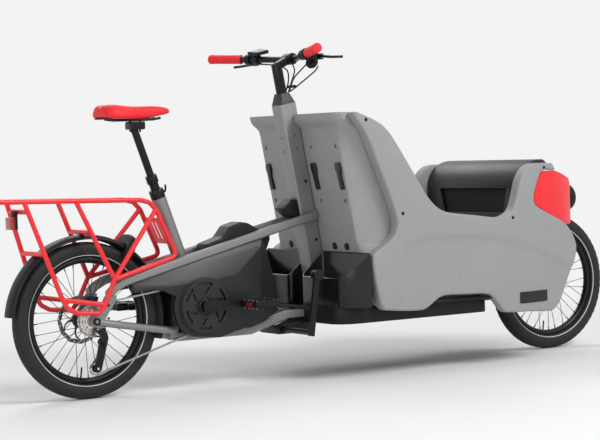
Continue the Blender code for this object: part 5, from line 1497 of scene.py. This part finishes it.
LAMPS = (("key", (1.6, -4.4, 4.6), 215.0, 2.6), ("fill", (-4.6, -3.0, 2.2), 60.0, 3.0),
         ("back", (0.5, 4.0, 4.4), 90.0, 3.0))
LAMP_AIM = Vector((0.0, 0.0, 0.5))
CAMERA_SPOT = (-3.6715, -5.590, 0.801)
CAMERA_YAW = math.radians(32.59)
CAMERA_PITCH = math.radians(-2.26)
CAMERA_ROLL = math.radians(-1.93)
CAMERA_LENS = 114.75
CAMERA_SENSOR = 36.0


def make_camera():
    """A camera that stands where the photograph was taken from."""
    level = math.cos(CAMERA_PITCH)
    look = Vector((math.sin(CAMERA_YAW) * level, math.cos(CAMERA_YAW) * level, math.sin(CAMERA_PITCH)))
    right = Vector((math.cos(CAMERA_YAW), -math.sin(CAMERA_YAW), 0.0))
    up = right.cross(look)
    cosine, sine = math.cos(CAMERA_ROLL), math.sin(CAMERA_ROLL)
    right, up = right * cosine + up * sine, up * cosine - right * sine
    turn = Matrix((right, up, -look)).transposed().to_4x4()
    deselect()
    bpy.ops.object.camera_add()
    camera = bpy.context.object
    camera.name = "photo_camera"
    camera.matrix_world = Matrix.Translation(CAMERA_SPOT) @ turn
    camera.data.sensor_fit = "HORIZONTAL"
    camera.data.sensor_width = CAMERA_SENSOR
    camera.data.lens = CAMERA_LENS
    camera.data.clip_end = 200.0
    bpy.context.scene.camera = camera


def make_stage(looks):
    """Floor, world, lamps and camera."""
    bpy.context.scene.view_settings.view_transform = "Standard"
    pale = tuple(looks.backdrop)
    make_floor(pale)
    make_world(pale, looks.sky)
    for name, spot, power, size in LAMPS:
        deselect()
        bpy.ops.object.light_add(type="AREA", location=spot)
        lamp = bpy.context.object
        lamp.name = "studio_" + name
        lamp.data.energy = power
        lamp.data.size = size
        lamp.rotation_euler = (LAMP_AIM - Vector(spot)).to_track_quat("-Z", "Y").to_euler()
    make_camera()


class CargoLooks(bpy.types.PropertyGroup):
    """Colours, sizes and counts that the pieces are made from."""

    shell_grey: bpy.props.FloatVectorProperty(
        name="Shell", description="Colour of the moulded box", subtype="COLOR",
        default=(0.300, 0.307, 0.314))
    frame_grey: bpy.props.FloatVectorProperty(
        name="Frame", description="Colour of the frame's paint", subtype="COLOR",
        default=(0.235, 0.232, 0.234))
    red: bpy.props.FloatVectorProperty(
        name="Red", description="Colour of the rack, saddle, grips and nose", subtype="COLOR",
        default=(0.86, 0.030, 0.038))
    backdrop: bpy.props.FloatVectorProperty(
        name="Backdrop", description="Colour behind the bicycle", subtype="COLOR",
        default=(0.896, 0.896, 0.896))
    sky: bpy.props.FloatProperty(
        name="Sky", description="Strength of the even light", default=0.42, min=0.0)
    wall_edge: bpy.props.FloatProperty(name="Wall edge", description="Rounding of the box walls' edges",
                                       subtype="DISTANCE", default=0.0085, min=0.0)
    rack_radius: bpy.props.FloatProperty(name="Rack tube", description="Radius of the rack's tubes",
                                         subtype="DISTANCE", default=0.0079, min=0.001)
    hose_radius: bpy.props.FloatProperty(
        name="Hose", description="Radius of the control hoses", subtype="DISTANCE", default=0.0025, min=0.001)
    spoke_radius: bpy.props.FloatProperty(
        name="Spoke", description="Radius of the spokes", subtype="DISTANCE", default=0.0011, min=0.0005)
    spokes: bpy.props.IntProperty(name="Spokes", description="Spokes in each wheel", default=32, min=8)
    tread_blocks: bpy.props.IntProperty(
        name="Tread", description="Tread blocks round a tyre", default=120, min=24)


class CARGO_OT_tyres(bpy.types.Operator):
    """Tyres with tread blocks and a pale line"""

    bl_idname = "cargo.tyres"
    bl_label = "Tyres"

    def execute(self, context):
        make_tyres(context.scene.cargo_looks)
        return {"FINISHED"}


class CARGO_OT_wheels(bpy.types.Operator):
    """Rims, hubs, spokes and drilled brake discs"""

    bl_idname = "cargo.wheels"
    bl_label = "Wheels"

    def execute(self, context):
        make_wheels(context.scene.cargo_looks)
        return {"FINISHED"}


class CARGO_OT_drivetrain(bpy.types.Operator):
    """Sprockets, chain, cranks, pedals and derailleur"""

    bl_idname = "cargo.drivetrain"
    bl_label = "Drivetrain"

    def execute(self, context):
        make_drivetrain()
        return {"FINISHED"}


class CARGO_OT_frame(bpy.types.Operator):
    """Painted mast, tubes, stays and beam"""

    bl_idname = "cargo.frame"
    bl_label = "Frame"

    def execute(self, context):
        make_frame()
        return {"FINISHED"}


class CARGO_OT_drive(bpy.types.Operator):
    """Motor, its covers and the battery"""

    bl_idname = "cargo.drive"
    bl_label = "Drive"

    def execute(self, context):
        make_drive()
        return {"FINISHED"}


class CARGO_OT_rack(bpy.types.Operator):
    """Bent rack tubes and the tail light"""

    bl_idname = "cargo.rack"
    bl_label = "Rack"

    def execute(self, context):
        make_rack(context.scene.cargo_looks)
        return {"FINISHED"}


class CARGO_OT_guard(bpy.types.Operator):
    """Mudguard, ring lock and rear brake"""

    bl_idname = "cargo.guard"
    bl_label = "Mudguard and lock"

    def execute(self, context):
        make_guard()
        return {"FINISHED"}


class CARGO_OT_seat(bpy.types.Operator):
    """Dropper post and padded saddle"""

    bl_idname = "cargo.seat"
    bl_label = "Seat"

    def execute(self, context):
        make_seat()
        return {"FINISHED"}


class CARGO_OT_steering(bpy.types.Operator):
    """Bar, grips, levers, display and hoses"""

    bl_idname = "cargo.steering"
    bl_label = "Steering"

    def execute(self, context):
        make_steering(context.scene.cargo_looks)
        return {"FINISHED"}


class CARGO_OT_walls(bpy.types.Operator):
    """Moulded side walls and red nose panels"""

    bl_idname = "cargo.walls"
    bl_label = "Box walls"

    def execute(self, context):
        make_walls(context.scene.cargo_looks)
        return {"FINISHED"}


class CARGO_OT_back(bpy.types.Operator):
    """Moulded back panel with its slots"""

    bl_idname = "cargo.back"
    bl_label = "Box back"

    def execute(self, context):
        make_back()
        return {"FINISHED"}


class CARGO_OT_inside(bpy.types.Operator):
    """Floor, bins and hood"""

    bl_idname = "cargo.inside"
    bl_label = "Box inside"

    def execute(self, context):
        make_inside()
        return {"FINISHED"}


class CARGO_OT_nose(bpy.types.Operator):
    """Nose lid and headlight"""

    bl_idname = "cargo.nose"
    bl_label = "Nose"

    def execute(self, context):
        make_nose()
        return {"FINISHED"}


class CARGO_OT_under(bpy.types.Operator):
    """Fork, stand and steering cable"""

    bl_idname = "cargo.under"
    bl_label = "Underside"

    def execute(self, context):
        make_under()
        return {"FINISHED"}


class CARGO_OT_stage(bpy.types.Operator):
    """Floor, light and camera"""

    bl_idname = "cargo.stage"
    bl_label = "Stage"

    def execute(self, context):
        make_stage(context.scene.cargo_looks)
        return {"FINISHED"}


STEPS = (
    CARGO_OT_tyres,
    CARGO_OT_wheels,
    CARGO_OT_drivetrain,
    CARGO_OT_frame,
    CARGO_OT_drive,
    CARGO_OT_rack,
    CARGO_OT_guard,
    CARGO_OT_seat,
    CARGO_OT_steering,
    CARGO_OT_walls,
    CARGO_OT_back,
    CARGO_OT_inside,
    CARGO_OT_nose,
    CARGO_OT_under,
    CARGO_OT_stage,
)


class CARGO_PT_looks(bpy.types.Panel):
    """Colours and steps of the cargo bicycle"""

    bl_label = "Cargo bicycle"
    bl_idname = "CARGO_PT_looks"
    bl_space_type = "VIEW_3D"
    bl_region_type = "UI"
    bl_category = "Cargo bicycle"

    def draw(self, context):
        for name in CargoLooks.__annotations__:
            self.layout.prop(context.scene.cargo_looks, name)
        for step in STEPS:
            self.layout.operator(step.bl_idname)


CLASSES = (CargoLooks,) + STEPS + (CARGO_PT_looks,)


def register():
    for each in CLASSES:
        bpy.utils.register_class(each)
    bpy.types.Scene.cargo_looks = bpy.props.PointerProperty(type=CargoLooks)


def unregister():
    del bpy.types.Scene.cargo_looks
    for each in reversed(CLASSES):
        bpy.utils.unregister_class(each)


def main():
    register()
    make_finishes(bpy.context.scene.cargo_looks)
    for step in STEPS:
        group, name = step.bl_idname.split(".")
        getattr(getattr(bpy.ops, group), name)()


if __name__ == "__main__":
    main()
